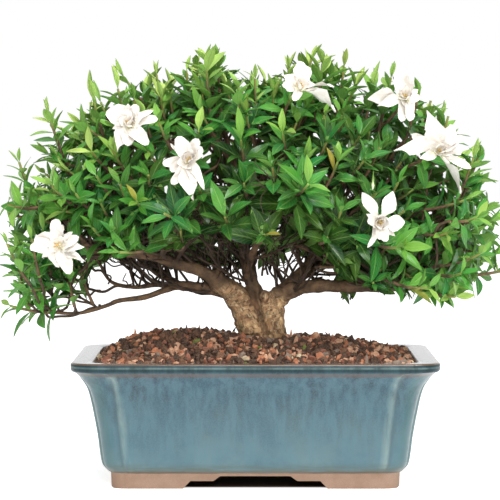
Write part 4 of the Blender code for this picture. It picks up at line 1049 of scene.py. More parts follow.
def make_set_out(name):
    """Sets shapes out on points: each point says its way, its upper face, size and kind."""
    tree, given, out = geometry_group(name, (
        ("Shapes", "Collection"), ("Size", "Float", 1.0, 0.0, 10.0), ("Roll", "Float", 0.2, 0.0, 3.2),
        ("Seed", "Int", 1, 0, 10000)))
    lie = add(tree, "FunctionNodeAxesToRotation", {
        "Primary Axis": read(tree, "way", "FLOAT_VECTOR"),
        "Secondary Axis": read(tree, "face", "FLOAT_VECTOR")},
        primary_axis="Y", secondary_axis="Z").outputs[0]
    chance = random_value(tree, "FLOAT", times(tree, given["Roll"], -1.0), given["Roll"], given["Seed"])
    roll = add(tree, "FunctionNodeAxisAngleToRotation", {"Axis": (0, 1, 0), "Angle": chance}).outputs[0]
    rolled = add(tree, "FunctionNodeRotateRotation", {"Rotation": lie, "Rotate By": roll},
                 rotation_space="LOCAL").outputs[0]
    size = add(tree, "ShaderNodeVectorMath", {
        0: read(tree, "size", "FLOAT_VECTOR"), "Scale": given["Size"]}, operation="SCALE").outputs[0]
    return end_with_copies(tree, given, out, given["Geometry"], read(tree, "kind", "INT"),
                           rolled, size, True)


def make_stems_along(name):
    """Round stems that follow lines, as thick as each line's points say."""
    tree, given, out = geometry_group(name, (
        ("Thickness", "Float", 1.0, 0.0, 10.0), ("Sides", "Int", 6, 3, 64)))
    lines = add(tree, "GeometryNodeMeshToCurve", {"Mesh": given["Geometry"]}).outputs[0]
    ring = add(tree, "GeometryNodeCurvePrimitiveCircle", {
        "Resolution": given["Sides"], "Radius": 1.0}).outputs[0]
    thick = times(tree, read(tree, "thick"), given["Thickness"])
    stems = add(tree, "GeometryNodeCurveToMesh", {
        "Curve": lines, "Profile Curve": ring, "Scale": thick, "Fill Caps": True}).outputs[0]
    return end_tree(tree, stems, given, out, True)


def make_scatter(name):
    """Scatters chunks over a surface, none nearer than the spacing, and gives each a tone."""
    tree, given, out = geometry_group(name, (
        ("Shapes", "Collection"), ("Spacing", "Float", 0.003, 0.0, 1.0),
        ("Smallest", "Float", 0.002, 0.0, 1.0), ("Largest", "Float", 0.005, 0.0, 1.0),
        ("Seed", "Int", 1, 0, 10000)))
    spots = add(tree, "GeometryNodeDistributePointsOnFaces", {
        "Mesh": given["Geometry"], "Distance Min": given["Spacing"], "Density Max": 4e5,
        "Seed": given["Seed"]}, distribute_method="POISSON").outputs[0]
    tone, spin, share, kind = (
        random_value(tree, sort, low, high, math_node(tree, "ADD", given["Seed"], number + 1))
        for number, (sort, low, high) in enumerate((
            ("FLOAT", 0.0, 1.0), ("FLOAT_VECTOR", (0, 0, 0), (math.tau,) * 3), ("FLOAT", 0.0, 1.0),
            ("INT", 0, 99))))
    spots = add(tree, "GeometryNodeStoreNamedAttribute", {"Geometry": spots, "Name": "tone", "Value": tone},
                data_type="FLOAT", domain="POINT").outputs[0]
    # Small granules are the more frequent ones
    size = add(tree, "ShaderNodeMapRange", {
        "Value": math_node(tree, "POWER", share, 1.8), "To Min": given["Smallest"],
        "To Max": given["Largest"]}).outputs[0]
    return end_with_copies(tree, given, out, spots, kind, spin, size, False)


def run_tree(source, tree, values, name):
    """Runs a tree over a helper mesh, which it uses up, and returns a plain piece."""
    sockets = {item.name: item.identifier for item in tree.interface.items_tree
               if item.item_type == "SOCKET" and item.in_out == "INPUT"}
    modifier = source.modifiers.new(tree.name, "NODES")
    modifier.node_group = tree
    for label, value in values.items():
        modifier[sockets[label]] = value
    mesh = baked(source)
    take(source)
    for left in ("way", "face", "size", "kind", "thick"):
        if left in mesh.attributes:
            mesh.attributes.remove(mesh.attributes[left])
    return finish_mesh(mesh, name)


# What each row of a point says after its place, and how it is stored
ROW_MARKS = (("way", "FLOAT_VECTOR"), ("face", "FLOAT_VECTOR"), ("size", "FLOAT_VECTOR"), ("kind", "INT"),
             ("tone", "FLOAT"), ("turned", "FLOAT"))


def points_object(rows):
    """Loose points with the attributes of each row."""
    places, *columns = zip(*rows)
    mesh = bpy.data.meshes.new("points")
    mesh.from_pydata(places, [], [])
    for (name, kind), column in zip(ROW_MARKS, columns):
        store(mesh, name, kind, column)
    return finish_mesh(mesh, "points")


def lines_object(lines):
    """Lines of (point, radius, age) as edges."""
    points, edges, thick, age = [], [], [], []
    for line in lines:
        for i, (point, radius, years) in enumerate(line):
            if i:
                edges.append((len(points) - 1, len(points)))
            points.append(point)
            thick.append(radius)
            age.append(years)
    mesh = bpy.data.meshes.new("lines")
    mesh.from_pydata(points, edges, [])
    store(mesh, "thick", "FLOAT", thick)
    store(mesh, "age", "FLOAT", age)
    return finish_mesh(mesh, "lines")


def set_out(rows, shapes, roll, seed, material, name):
    """One piece of shapes set out on the rows' points."""
    return run_tree(points_object(rows), once("set out on points", make_set_out), {
        "Shapes": shapes, "Size": 1.0, "Roll": roll, "Seed": seed, "Material": material}, name)


def stems_along(lines, thickness, sides, material, name):
    """One piece of round stems along lines."""
    return run_tree(lines_object(lines), once("stems along lines", make_stems_along), {
        "Thickness": thickness, "Sides": sides, "Material": material}, name)


def shape_set(name, meshes):
    """A collection of helper shapes in their order, for a tree to choose from."""
    group = bpy.data.collections.new(name)
    for index, mesh in enumerate(meshes):
        group.objects.link(bpy.data.objects.new(f"{name}_{index:02d}", mesh))
    return group


def drop_set(group):
    for obj in list(group.objects):
        take(obj)
    bpy.data.collections.remove(group)


# Pot ------------------------------------------------------------------------------------


def rounded(points, radii, steps):
    """An outline whose corners are rounded, each by its own radius."""
    made = []
    for i, point in enumerate(points):
        before, after = points[i - 1], points[(i + 1) % len(points)]
        radius = radii[i]
        if radius <= 0:
            made.append(point)
            continue
        a = point + (before - point).normalized() * min(radius, 0.45 * (before - point).length)
        b = point + (after - point).normalized() * min(radius, 0.45 * (after - point).length)
        for step in range(steps + 1):
            t = step / steps
            made.append(a * (1 - t) ** 2 + point * 2 * t * (1 - t) + b * t * t)
    return made


def pot_outline(inset, corner, notch, arc_steps):
    """One level of the pot, and its panel edges and grooves."""
    half_x, half_y = RIM_HALF_X - inset, RIM_HALF_Y - inset
    radius = corner - NOTCH_CUTS * notch
    centre_x, centre_y = half_x - notch - radius, half_y - notch - radius
    # Each corner's points say 1 for a panel edge, 2 for a groove and 0 for neither
    quarter = [(half_x, half_y - corner, 1)]
    for step in range(arc_steps + 1):
        angle = 0.5 * math.pi * step / arc_steps
        kind = 2 if step in (0, arc_steps) else 0
        quarter.append((centre_x + radius * math.cos(angle), centre_y + radius * math.sin(angle), kind))
    quarter.append((half_x - corner, half_y, 1))
    back = quarter[::-1]
    quarters = [[(right * x, up * y, k) for x, y, k in corner_points] for right, up, corner_points in (
        (1, 1, quarter), (-1, 1, back), (-1, -1, quarter), (1, -1, back))]
    corners = []
    for own, after in zip(quarters, quarters[1:] + quarters[:1]):
        corners += own
        start, end = Vector(own[-1][:2]), Vector(after[0][:2])
        far = (end - start).length
        for step in [0.006, 0.014] + [far * i / 8 for i in range(1, 8)] + [far - 0.014, far - 0.006]:
            corners.append((*start.lerp(end, step / far), 0))
    points = [Vector((x, y)) for x, y, _ in corners]
    radii = [(0.0, 0.0022, 0.0012)[kind] for _, _, kind in corners]
    edges, grooves = ([Vector((x, y)) for x, y, k in corners if k == kind] for kind in (1, 2))
    return rounded(points, radii, 3), edges, grooves


def pot_levels():
    """The outer wall's levels, drawn through smoothly between its sharp ones, and the inner wall's."""
    levels = [*OUTER_WALL[:3], *(tuple(level) for level in through(OUTER_WALL[3:13], 4))]
    # The lip swells out, stands straight and is rounded over on top
    levels += [(0.1036, 0.0009, 0.0244, 0.0006), *OUTER_WALL[13:15]]
    levels += [(0.1104, 0.0006, 0.0237, 0.0006), (0.1110, 0.0013, 0.0232, 0.0006), OUTER_WALL[15]]
    levels += [(0.1112, 0.0060, 0.0210, 0.0006), (0.1111, 0.0140, 0.0175, 0.0006)]
    return levels + list(INNER_WALL)


def level_at(levels, height):
    for low, high in zip(levels, levels[1:]):
        if low[0] <= height <= high[0] and high[0] > low[0]:
            t = (height - low[0]) / (high[0] - low[0])
            return [a + (b - a) * t for a, b in zip(low, high)]
    return levels[0] if height < levels[0][0] else levels[-1]


def cut_outline(half_profile, along_x, reach):
    outline = list(half_profile) + [(-across, height) for across, height in reversed(half_profile)]
    if along_x:
        return prism([Vector((-reach, a, z)) for a, z in outline], Vector((2 * reach, 0, 0)))
    return prism([Vector((a, -reach, z)) for a, z in outline], Vector((0, 2 * reach, 0)))


def build_pot(look):
    rings = []
    for height, inset, corner, notch in pot_levels():
        outline, _, _ = pot_outline(inset, corner, notch * look.notch_share, look.corner_steps)
        rings.append([Vector((p.x, p.y, height)) for p in outline])
    pot = finish_mesh(mesh_from(loft(rings), "pot_shell"), "pot_look")
    outline, _, _ = pot_outline(FOOT_INSET + FOOT_BAND_WIDTH, 0.010, 0.0006, 4)
    recess = [[Vector((p.x, p.y, z)) for p in outline] for z in (-0.001, FLOOR_UNDERSIDE)]
    cutters = [loft(recess), cut_outline(FRONT_CUT, False, RIM_HALF_Y),
               cut_outline(SIDE_CUT, True, RIM_HALF_X)]
    for side in (-1, 1):
        hole = bmesh.new()
        bmesh.ops.create_cone(
            hole, cap_ends=True, segments=32, radius1=DRAIN_HOLE_RADIUS, radius2=DRAIN_HOLE_RADIUS,
            depth=0.03, matrix=Matrix.Translation((side * DRAIN_HOLE_X, 0, FLOOR_UNDERSIDE)))
        cutters.append(hole)
    carve(pot, [finish_mesh(mesh_from(cutter, "cutter"), "cutter") for cutter in cutters])
    mark_pot(pot.data, look.notch_share)
    soften(pot.data, 38)
    give(pot.data, glaze_material(look))
    return pot


def depth_inside(inset, corner, notch, place):
    """How far a point lies inside one level's outline."""
    half_x, half_y = RIM_HALF_X - inset, RIM_HALF_Y - inset
    radius = corner - NOTCH_CUTS * notch
    x, y = abs(place.x) - (half_x - notch - radius), abs(place.y) - (half_y - notch - radius)
    if x > 0 and y > 0:
        return radius - math.hypot(x, y)
    return min(half_x - abs(place.x), half_y - abs(place.y))


def mark_pot(mesh, notch_share):
    """Marks panel edges, corner grooves, corners, the lip's brown line and the unglazed inside."""
    rows, cache = [], {}
    for vertex in mesh.vertices:
        place = vertex.co
        key = round(place.z, 5)
        if key not in cache:
            _, inset, corner, notch = level_at(OUTER_WALL, place.z)
            notch *= notch_share
            cache[key] = (inset, corner, notch, *pot_outline(inset, corner, notch, 6)[1:])
        inset, corner, notch, edges, grooves = cache[key]
        flat = place.to_2d()
        depth = depth_inside(inset, corner, notch, place)
        on_body = BODY_FOOT < place.z < BODY_TOP and depth < SHELL
        near_edge, near_groove = (min((flat - p).length for p in line) for line in (edges, grooves))
        in_corner = max(abs(p.x) for p in edges) - corner * 0.55
        rows.append((on_body * within(1 - near_edge / EDGE_REACH),
                     (on_body and notch > 0.001) * within(1 - near_groove / GROOVE_REACH),
                     on_body * within((abs(flat.x) - in_corner) / 0.006 + 0.5),
                     float(place.z > 0.1100 and depth < 0.0016),
                     float(place.z < 0.1095 and depth > 0.0055)))
    for name, values in zip(("edge", "groove", "corner", "lip", "inside"), zip(*rows)):
        store(mesh, name, "FLOAT", values)


# Soil -----------------------------------------------------------------------------------


def soil_height(x, y):
    across = min(1.0, abs(x) / (RIM_HALF_X - 0.020))
    along = min(1.0, abs(y) / (RIM_HALF_Y - 0.020))
    dome = (1 - across ** 2.6) * (1 - along ** 2.4)
    heap = math.exp(-((x + 0.062) / 0.042) ** 2 - (y / 0.055) ** 2)
    sides = sum(high * math.exp(-((x - at) / wide) ** 2 - (y / 0.048) ** 2)
                for at, wide, high in SOIL_SIDE_HEAPS)
    return SOIL_EDGE_HEIGHT + SOIL_CROWN * dome + SOIL_LEFT_HEAP * heap + sides


def soil_surface(lower, cells_x, cells_y, inset, relief_size):
    """Rows of points over the soil's top."""
    half_x, half_y = RIM_HALF_X - inset, RIM_HALF_Y - inset
    rows = []
    for j in range(cells_y + 1):
        rows.append([])
        for i in range(cells_x + 1):
            u, v = 2 * i / cells_x - 1, 2 * j / cells_y - 1
            # The corners are drawn in, as the pot's are
            pull = 1 - 0.028 * (abs(u) ** 8) * (abs(v) ** 8)
            x, y = u * half_x * pull, v * half_y * pull
            bumps = noise.noise(Vector((x, y, 0.3)) * 160) + 0.6 * noise.noise(Vector((x, y, 1.7)) * 380)
            rows[-1].append(Vector((x, y, soil_height(x, y) - lower + relief_size * bumps)))
    return rows


def soil_bed_mesh():
    """The bed under the loose granules, down to the pot's floor."""
    rows = soil_surface(0.0022, 56, 40, BED_INSET, 0.0010)
    made, top = sheet(rows)
    wide, deep = len(rows[0]) - 1, len(rows) - 1
    around = [(i, 0) for i in range(wide)] + [(wide, j) for j in range(deep)]
    around += [(i, deep) for i in range(wide, 0, -1)] + [(0, j) for j in range(deep, 0, -1)]
    high = [top[j][i] for i, j in around]
    for height, inset in ((0.0465, 0.0318), (FLOOR_TOP + GAP, 0.0352)):
        shrink_x, shrink_y = ((half - inset) / (half - BED_INSET) for half in (RIM_HALF_X, RIM_HALF_Y))
        low = [made.verts.new((rows[j][i].x * shrink_x, rows[j][i].y * shrink_y, height))
               for i, j in around]
        for k in range(len(around)):
            n = (k + 1) % len(around)
            made.faces.new((high[k], low[k], low[n], high[n]))
        high = low
    made.faces.new(high)
    return mesh_from(made, "soil_bed")


def chunk_mesh(seed, stretch):
    """An angular granule about one unit across: the hull of a few random points."""
    chance = random.Random(seed)
    made = bmesh.new()
    for _ in range(15):
        way = stray(chance.gauss, 0, 1).normalized()
        point = way * chance.uniform(0.40, 0.56)
        made.verts.new((point.x * stretch[0], point.y * stretch[1], point.z * stretch[2]))
    hull = bmesh.ops.convex_hull(made, input=made.verts[:])
    loose = [item for item in hull["geom_interior"] if isinstance(item, bmesh.types.BMVert)]
    bmesh.ops.delete(made, geom=list(set(loose)), context="VERTS")
    bmesh.ops.triangulate(made, faces=made.faces)
    return mesh_from(made, f"chunk_{seed}")


def build_soil(look):
    """The bed, and two layers of loose granules on it, none where the trunk stands."""
    bed = finish_mesh(soil_bed_mesh(), "soil_bed", granule_material(look, bed=True), 60)
    material = granule_material(look)
    stretches = [(1, 1, 1), (1.1, 0.9, 0.85), (1.25, 0.85, 0.7), (0.95, 1.05, 0.9), (1.0, 0.8, 1.1),
                 (1.15, 1.0, 0.75), (0.9, 0.9, 1.0)]
    meshes = [chunk_mesh(40 + i, stretches[i % len(stretches)]) for i in range(14)]
    # Bits of straw
    meshes.append(chunk_mesh(80, (2.3, 0.42, 0.36)))
    shapes = shape_set("chunk", meshes)
    tree = once("scatter granules", make_scatter)
    layers = []
    for number, (lower, spacing, seed) in enumerate((
            (0.0012, look.granule_spacing, look.seed),
            (-0.0006, look.granule_spacing * 1.35, look.seed + 50))):
        made, _ = sheet(soil_surface(lower, 28, 20, GRANULE_INSET, 0.0008),
                        lambda middle: abs(middle.x - 0.006) < 0.016 and abs(middle.y) < 0.007)
        surface = finish_mesh(mesh_from(made, "surface"), "surface")
        layers.append(run_tree(surface, tree, {
            "Shapes": shapes, "Spacing": spacing, "Smallest": look.granule_smallest,
            "Largest": look.granule_largest, "Seed": seed, "Material": material}, f"granules_{number + 1}"))
    drop_set(shapes)
    return [bed] + layers


# Canopy plan ----------------------------------------------------------------------------


def dome_point(direction, depth):
    """The point in that direction at a share of the way from the canopy's middle to its skin."""
    down = CANOPY_REACH_DOWN if direction.z < 0 else CANOPY_REACH[2]
    total = sum(abs(value) ** CANOPY_POWER for value in direction) ** (1 / CANOPY_POWER)
    scaled = Vector((direction.x * CANOPY_REACH[0], direction.y * CANOPY_REACH[1],
                     direction.z * down))
    return CANOPY_CENTRE + scaled * (depth / total)


def dome_directions(count, lowest=-0.42):
    """Directions spread evenly over the dome by the golden angle."""
    golden = math.pi * (3 - math.sqrt(5))
    for i in range(count):
        z = 0.985 - (0.985 - lowest) * (i + 0.5) / count
        level = math.sqrt(1 - z * z)
        yield Vector((level * math.cos(golden * i), level * math.sin(golden * i), z))


def stem_from(root, way, chance):
    """A stem that starts outwards and turns a little up to the light."""
    length = chance.uniform(*SPRAY_LENGTH)
    end_way = (way + 0.22 * UP + stray(chance.uniform, -0.12, 0.12)).normalized()
    end = root + (way + end_way).normalized() * length
    return curve_between(root, way, end, end_way, 4)


def plan_sprays():
    """The solids' own sprays: each stem's points, and the bloom that it carries or None."""
    chance = random.Random(11)
    stems = []
    for number, (face, way, _) in enumerate(BLOOMS):
        face, way = Vector(face), Vector(way).normalized()
        calyx_tip = face - way * (BLOOM_TUBE_LENGTH + GAP)
        inward = (CANOPY_CENTRE + Vector((0.3 * face.x, 0, 0.02)) - calyx_tip).normalized()
        root = calyx_tip - way * (0.55 * BLOOM_STALK) + inward * (0.45 * BLOOM_STALK)
        stems.append((curve_between(root, (way - inward).normalized(), calyx_tip, way, 4), number))
    for root, way in LOW_SPRAYS:
        stems.append((stem_from(Vector(root), Vector(way).normalized(), chance), None))
    for direction in dome_directions(SPRAYS_BY_RULE):
        root = dome_point(direction, SPRAY_DEPTH)
        tip = dome_point(direction, 0.90)
        if any((tip - line[-1]).length < CLEAR_OF_PLACED for line, _ in stems):
            continue
        way = (dome_point(direction, 1.0) - root).normalized()
        stems.append((stem_from(root, way, chance), None))
    return stems


def blocks_bloom(point, room=1.0):
    """Whether a point lies in the open face of a bloom, or between it and who looks at it."""
    for face, way, size in BLOOMS:
        reach = point - Vector(face)
        way = Vector(way).normalized()
        rise = reach.dot(way)
        aside = (reach - way * rise).length
        if -0.006 < rise < 0.05 and aside < room * (0.020 + 0.20 * max(0.0, rise)) * size + 0.002:
            return True
        front = Vector((reach.x, reach.z))
        if reach.y * way.y > 0 and abs(reach.y) > 0.003 and front.length < 0.0165 * size * room:
            return True
    return False


def in_opening(point, room=0.0):
    """Whether a point would cover one of the openings for who looks from the front."""
    share = SEEN_FROM[0] / (SEEN_FROM[0] - point.y)
    x, z = point.x * share, SEEN_FROM[1] + (point.z - SEEN_FROM[1]) * share
    left, right, low, high = OPENINGS_BOX
    if not (left < x < right and low < z < high):
        return False
    return any(((x - across) / (half_x + room)) ** 2 + ((z - up) / (half_z + room)) ** 2 < 1
               for across, up, half_x, half_z in OPENINGS)


def crosses_opening(start, end, room=0.0, steps=5):
    """The share of a straight line that lies in the openings."""
    return sum(in_opening(start.lerp(end, (i + 0.5) / steps), room) for i in range(steps)) / steps


def leaf_share(point):
    """How large the leaves grow there: largest low in the middle, smaller out to both sides."""
    if point.x < LOW_LEFT[0] and point.z < LOW_LEFT[1]:
        return 0.80
    across, up = (math.exp(-((at - middle) / wide) ** 2) for at, middle, wide in (
        (point.x, 0.005, 0.085), (point.z, 0.24, 0.09)))
    return 0.80 + 0.30 * across * up


def plan_fill(stems, look):
    """Shoots between the solids' sprays, so that the canopy closes, none outside its outline."""
    chance = random.Random(look.seed + 71)
    tips = [line[-1] for line, _ in stems]
    made = []
    for tip, length in CROWN_SHOOTS:
        tip = Vector(tip)
        lean = (tip - CANOPY_CENTRE).normalized()
        way = (0.45 * lean + UP).normalized()
        made.append(curve_between(tip - way * length, way, tip, (way + 0.3 * UP).normalized(), 4))
        tips.append(tip)
    tries = []
    for index, direction in enumerate(dome_directions(look.fill_shoots, -0.62)):
        tries.append(dome_point(direction, 0.60 + 0.34 * math.sqrt((index * 0.6180339) % 1.0)))
    for low_corner, high_corner, count in SKIRTS:
        for _ in range(count):
            tries.append(Vector([chance.uniform(a, b) for a, b in zip(low_corner, high_corner)]))
    for tip in tries:
        tip += stray(chance.uniform, -0.006, 0.006)
        for i in (0, 1):
            tip[i] = max(CAD_LOW[i] + 0.004, min(CAD_HIGH[i] - 0.004, tip[i]))
        at_front = tip.y < CROWN_FRONT
        high = min(read_table(SKYLINE, tip.x + aside) for aside in (-0.012, 0.0, 0.012)) - 0.010
        low = read_table(UNDERSIDE, tip.x) + (0.008 if at_front else -0.022)
        if tip.z > high:
            tip.z = high - chance.uniform(0.0, 0.012)
        low_left = tip.x <= LOW_LEFT[0] and tip.z <= LOW_LEFT[1]
        spacing = look.shoot_spacing * (0.95 if low_left else leaf_share(tip))
        if tip.z < low or any((tip - other).length < spacing for other in tips):
            continue
        if tip.z < 0.245 and abs(tip.x) < 0.12 and chance.random() < (0.45 if at_front else 0.15):
            continue
        if blocks_bloom(tip) or (abs(tip.x) > 0.10 and chance.random() < 0.10):
            continue
        out = Vector(((tip.x - CANOPY_CENTRE.x) * 0.6, tip.y * 1.3, tip.z - CANOPY_CENTRE.z)).normalized()
        if tip.x < LOW_LEFT[0] and tip.z < 0.225:
            out = Vector((-0.30, 2 * tip.y, 0.60)).normalized()
        way = (out + 0.26 * UP + stray(chance.uniform, -0.36, 0.36)).normalized()
        root = tip - way * chance.uniform(*FILL_LENGTH)
        lowest = 0.150 if root.x > -0.175 else 0.140
        if abs(root.x) < 0.13:
            lowest = max(lowest, 0.160 if at_front else 0.152)
        if root.z < lowest or crosses_opening(root, tip):
            continue
        way_out, way_in = (way - 0.2 * UP).normalized(), (way + 0.25 * UP).normalized()
        made.append(curve_between(root, way_out, tip, way_in, 4))
        tips.append(tip)
    return made


class Wood:
    """The limbs and twigs that a new twig can grow from."""

    def __init__(self):
        self.spots = []
        for line in LIMBS.values():
            smooth = smooth_line(line, 3)
            ends = smooth[:1] + smooth + smooth[-1:]
            for (before, _), (point, radius), (after, _) in zip(ends, smooth, ends[2:]):
                self.spots.append((point, radius, (after - before).normalized()))

    def twig_to(self, root, way, steps):
        """A line of (point, radius) from the nearest wood to a shoot's root."""
        found = []
        for point, radius, along in self.spots:
            reach = root - point
            lowest = 0.145 if steps > 3 and abs(point.x) > 0.115 else 0.175
            if point.z < lowest or radius < 0.0013 or reach.length < 0.012:
                continue
            towards = reach.normalized()
            cost = reach.length * (1.9 - 0.9 * along.dot(towards)) * (1.5 - 0.6 * towards.z)
            found.append((cost, point, radius, along))
        found.sort(key=lambda option: option[0])
        if steps > 3:
            found = [(cost * (1 + 1.6 * crosses_opening(point, root, 0.0008, 8)), point, radius, along)
                     for cost, point, radius, along in found[:24]]
            found.sort(key=lambda option: option[0])
        _, start, radius, along = found[0]
        leave = (along + (root - start).normalized()).normalized()
        points = curve_between(start, leave, root - way * GAP, way, steps)
        thick = min(0.72 * radius, BRANCH_ROOT_RADIUS)
        line = [(p, thick + (TWIG_RADIUS - thick) * i / steps) for i, p in enumerate(points)]
        for i in range(1, steps):
            if steps == 3 or i % 2:
                self.spots.append((points[i], line[i][1], (points[i + 1] - points[i - 1]).normalized()))
        return line


def plan_twigs(stems, fill):
    """Every twig, those of the solids first, nearest sprays first, so that they fork alike."""
    wood = Wood()
    fork = Vector((0.0, 0.0, 0.17))
    twigs = []
    for group, steps in (([line for line, _ in stems], 3), (fill, 6)):
        for line in sorted(group, key=lambda points: (points[0] - fork).length):
            way = (line[1] - line[0]).normalized()
            twigs.append(wood.twig_to(line[0], way, steps))
    return twigs


def plan_bare_twigs(look):
    """Fine dark twigs that rise from the limbs into the underside of the canopy, and fork."""
    chance = random.Random(look.seed + 40)
    spots = []
    for line in LIMBS.values():
        smooth = smooth_line(line, 5)
        for (point, radius), (after, _) in zip(smooth, smooth[1:]):
            if point.z > 0.164 and radius < 0.0085:
                spots.append((point, radius, (after - point).normalized()))
    twigs = []
    for number, row in enumerate(FINE_TWIGS):
        line = bent(smooth_line(row, 2), chance, 0.0012, 2)
        at_start, point = TWIG_LINKS.get(number, (False, None))
        if point:
            end = (Vector(point), *line[0 if at_start else -1][1:])
            line = [end] + line if at_start else line + [end]
        twigs.append(line)
    while len(twigs) < look.bare_twigs:
        point, radius, along = chance.choice(spots)
        aside = stray(chance.gauss, 0, 0.62)
        way = (0.55 * along + UP * chance.uniform(0.15, 0.9) + aside).normalized()
        forks = [(point, way, chance.uniform(0.026, 0.070), min(0.55 * radius, 0.0013))]
        while forks and len(twigs) < look.bare_twigs:
            start, way, length, thick = forks.pop()
            turn = stray(chance.gauss, 0, 0.35)
            end_way = (way + 0.30 * UP + turn).normalized()
            end = start + (way + end_way).normalized() * length
            inside = abs(end.x) / 0.205 + abs(end.y) / 0.16 < 1.25 and 0.166 < end.z < 0.315
            high = 0.285 - 0.35 * max(0.0, abs(end.x) - 0.09)
            if not inside or end.z > high or (end.z < 0.176 and abs(end.x) < 0.13) or blocks_bloom(end):
                continue
            points = curve_between(start, way, end, end_way, 4)
            crosses = any(in_opening(point, -0.0008) for point in points[1:])
            if crosses and (thick > 0.0009 or chance.random() > 0.16):
                continue
            line = [(p, thick * (1 - 0.10 * i)) for i, p in enumerate(points)]
            twigs.append(bent(line, chance, 0.0009, 2))
            if thick > 0.0005:
                for _ in range(chance.choice((1, 2, 3))):
                    at = chance.randint(1, 3)
                    fork_way = (way + stray(chance.gauss, 0, 0.7)).normalized()
                    forks.append((points[at], fork_way, length * chance.uniform(0.45, 0.8), thick * 0.62))
    return twigs


def bent(line, chance, size, steps=3):
    """A twig's line made finer and less even, its two ends kept."""
    smooth = smooth_line([(*point, radius) for point, radius in line], steps)
    phase = [chance.uniform(0, math.tau) for _ in range(3)]
    count = len(smooth) - 1
    made = []
    for i, (point, radius) in enumerate(smooth):
        t = i / count
        sway = size * math.sin(math.pi * t)
        shift = Vector([math.sin(phase[k] + t * (7 + 2 * k)) for k in range(3)]) * sway
        made.append((point + shift, radius))
    return made


# Wood -----------------------------------------------------------------------------------


def trunk_foot(z, flare):
    """One ring round both stems at the trunk's foot."""
    left, right = LIMBS["left_stem"][1], LIMBS["right_stem"][1]
    centre_x = 0.5 * (left[0] - left[3] + right[0] + right[3])
    half_x = 0.5 * (right[0] + right[3] - left[0] + left[3]) + flare
    half_y = max(left[3], right[3]) + flare
    points = []
    for i in range(FOOT_SIDES):
        across, along = math.cos(math.tau * i / FOOT_SIDES), math.sin(math.tau * i / FOOT_SIDES)
        points.append(Vector((centre_x + half_x * math.copysign(abs(across) ** 0.8, across),
                              half_y * math.copysign(abs(along) ** 0.8, along), z)))
    return points


def add_tube(line, sides, made):
    """Adds a closed tube to a bmesh."""
    angles = [math.tau * i / sides for i in range(sides)]
    skin_closed(made, [
        [centre + radius * swung(angle, side, other) for angle in angles]
        for (centre, radius), (side, other, _) in zip(line, frames_along([point for point, _ in line]))])


def build_wood(look, twigs):
    """The trunk and thick limbs as one skin with bark relief, and the rest as round stems."""
    made = bmesh.new()
    skin_closed(made, [trunk_foot(z, flare) for z, flare in (
        (0.098, 0.0012), (0.112, 0.0010), (0.1215, 0.0006), (0.131, -0.0016))])
    thin, stations = [], []
    for number, line in enumerate(LIMBS.values()):
        smooth = smooth_line(line, 6)
        phase = random.Random(900 + number).uniform(0, 6)
        uneven = [
            (point, radius * (1 + 0.055 * math.sin(phase + i * 0.9) + 0.035 * math.sin(phase * 2 + i * 2.3)))
            for i, (point, radius) in enumerate(smooth)]
        thick = [station for station in uneven if station[1] > look.fused_radius]
        if len(thick) > 2:
            add_tube(thick, 16, made)
        # The thin end starts a little inside the thick one
        split = max(0, len(thick) - 4)
        if len(thick) < len(uneven):
            thin.append([(point, radius, 0.42) for point, radius in uneven[split:]])
        for (point, radius), axes in zip(smooth, frames_along([point for point, _ in smooth])):
            stations.append((point, radius, axes[2]))
    for centre, radius in KNOTS:
        bmesh.ops.create_icosphere(made, subdivisions=2, radius=radius, matrix=Matrix.Translation(centre))
    rough = finish_mesh(mesh_from(made, "rough_wood"), "rough_wood")
    remesh = rough.modifiers.new("skin", "REMESH")
    remesh.mode, remesh.voxel_size, remesh.use_smooth_shade = "VOXEL", look.wood_voxel, True
    even = rough.modifiers.new("even", "SMOOTH")
    even.factor, even.iterations = 0.5, 6
    mesh = baked(rough)
    take(rough)
    carve_bark(mesh, stations, look)
    trunk = finish_mesh(mesh, "trunk_bark", bark_material(look, "bark_look"), 70)
    chance = random.Random(look.seed + 5)
    # Painted shade: twigs lower down under the canopy get a darker colour through their age, and the bare
    # twigs under it the darkest
    for line in twigs:
        thin.append([(point, radius, 0.47 + 0.06 * within((0.235 - point.z) / 0.03))
                     for point, radius in bent(line, chance, 0.0016)])
    for line in plan_bare_twigs(look):
        thin.append([(point, radius, 0.60) for point, radius in line])
    return trunk, stems_along(thin, look.twig_thickness, look.twig_sides,
                              bark_material(look, "twig_look", twig=True), "twigs")


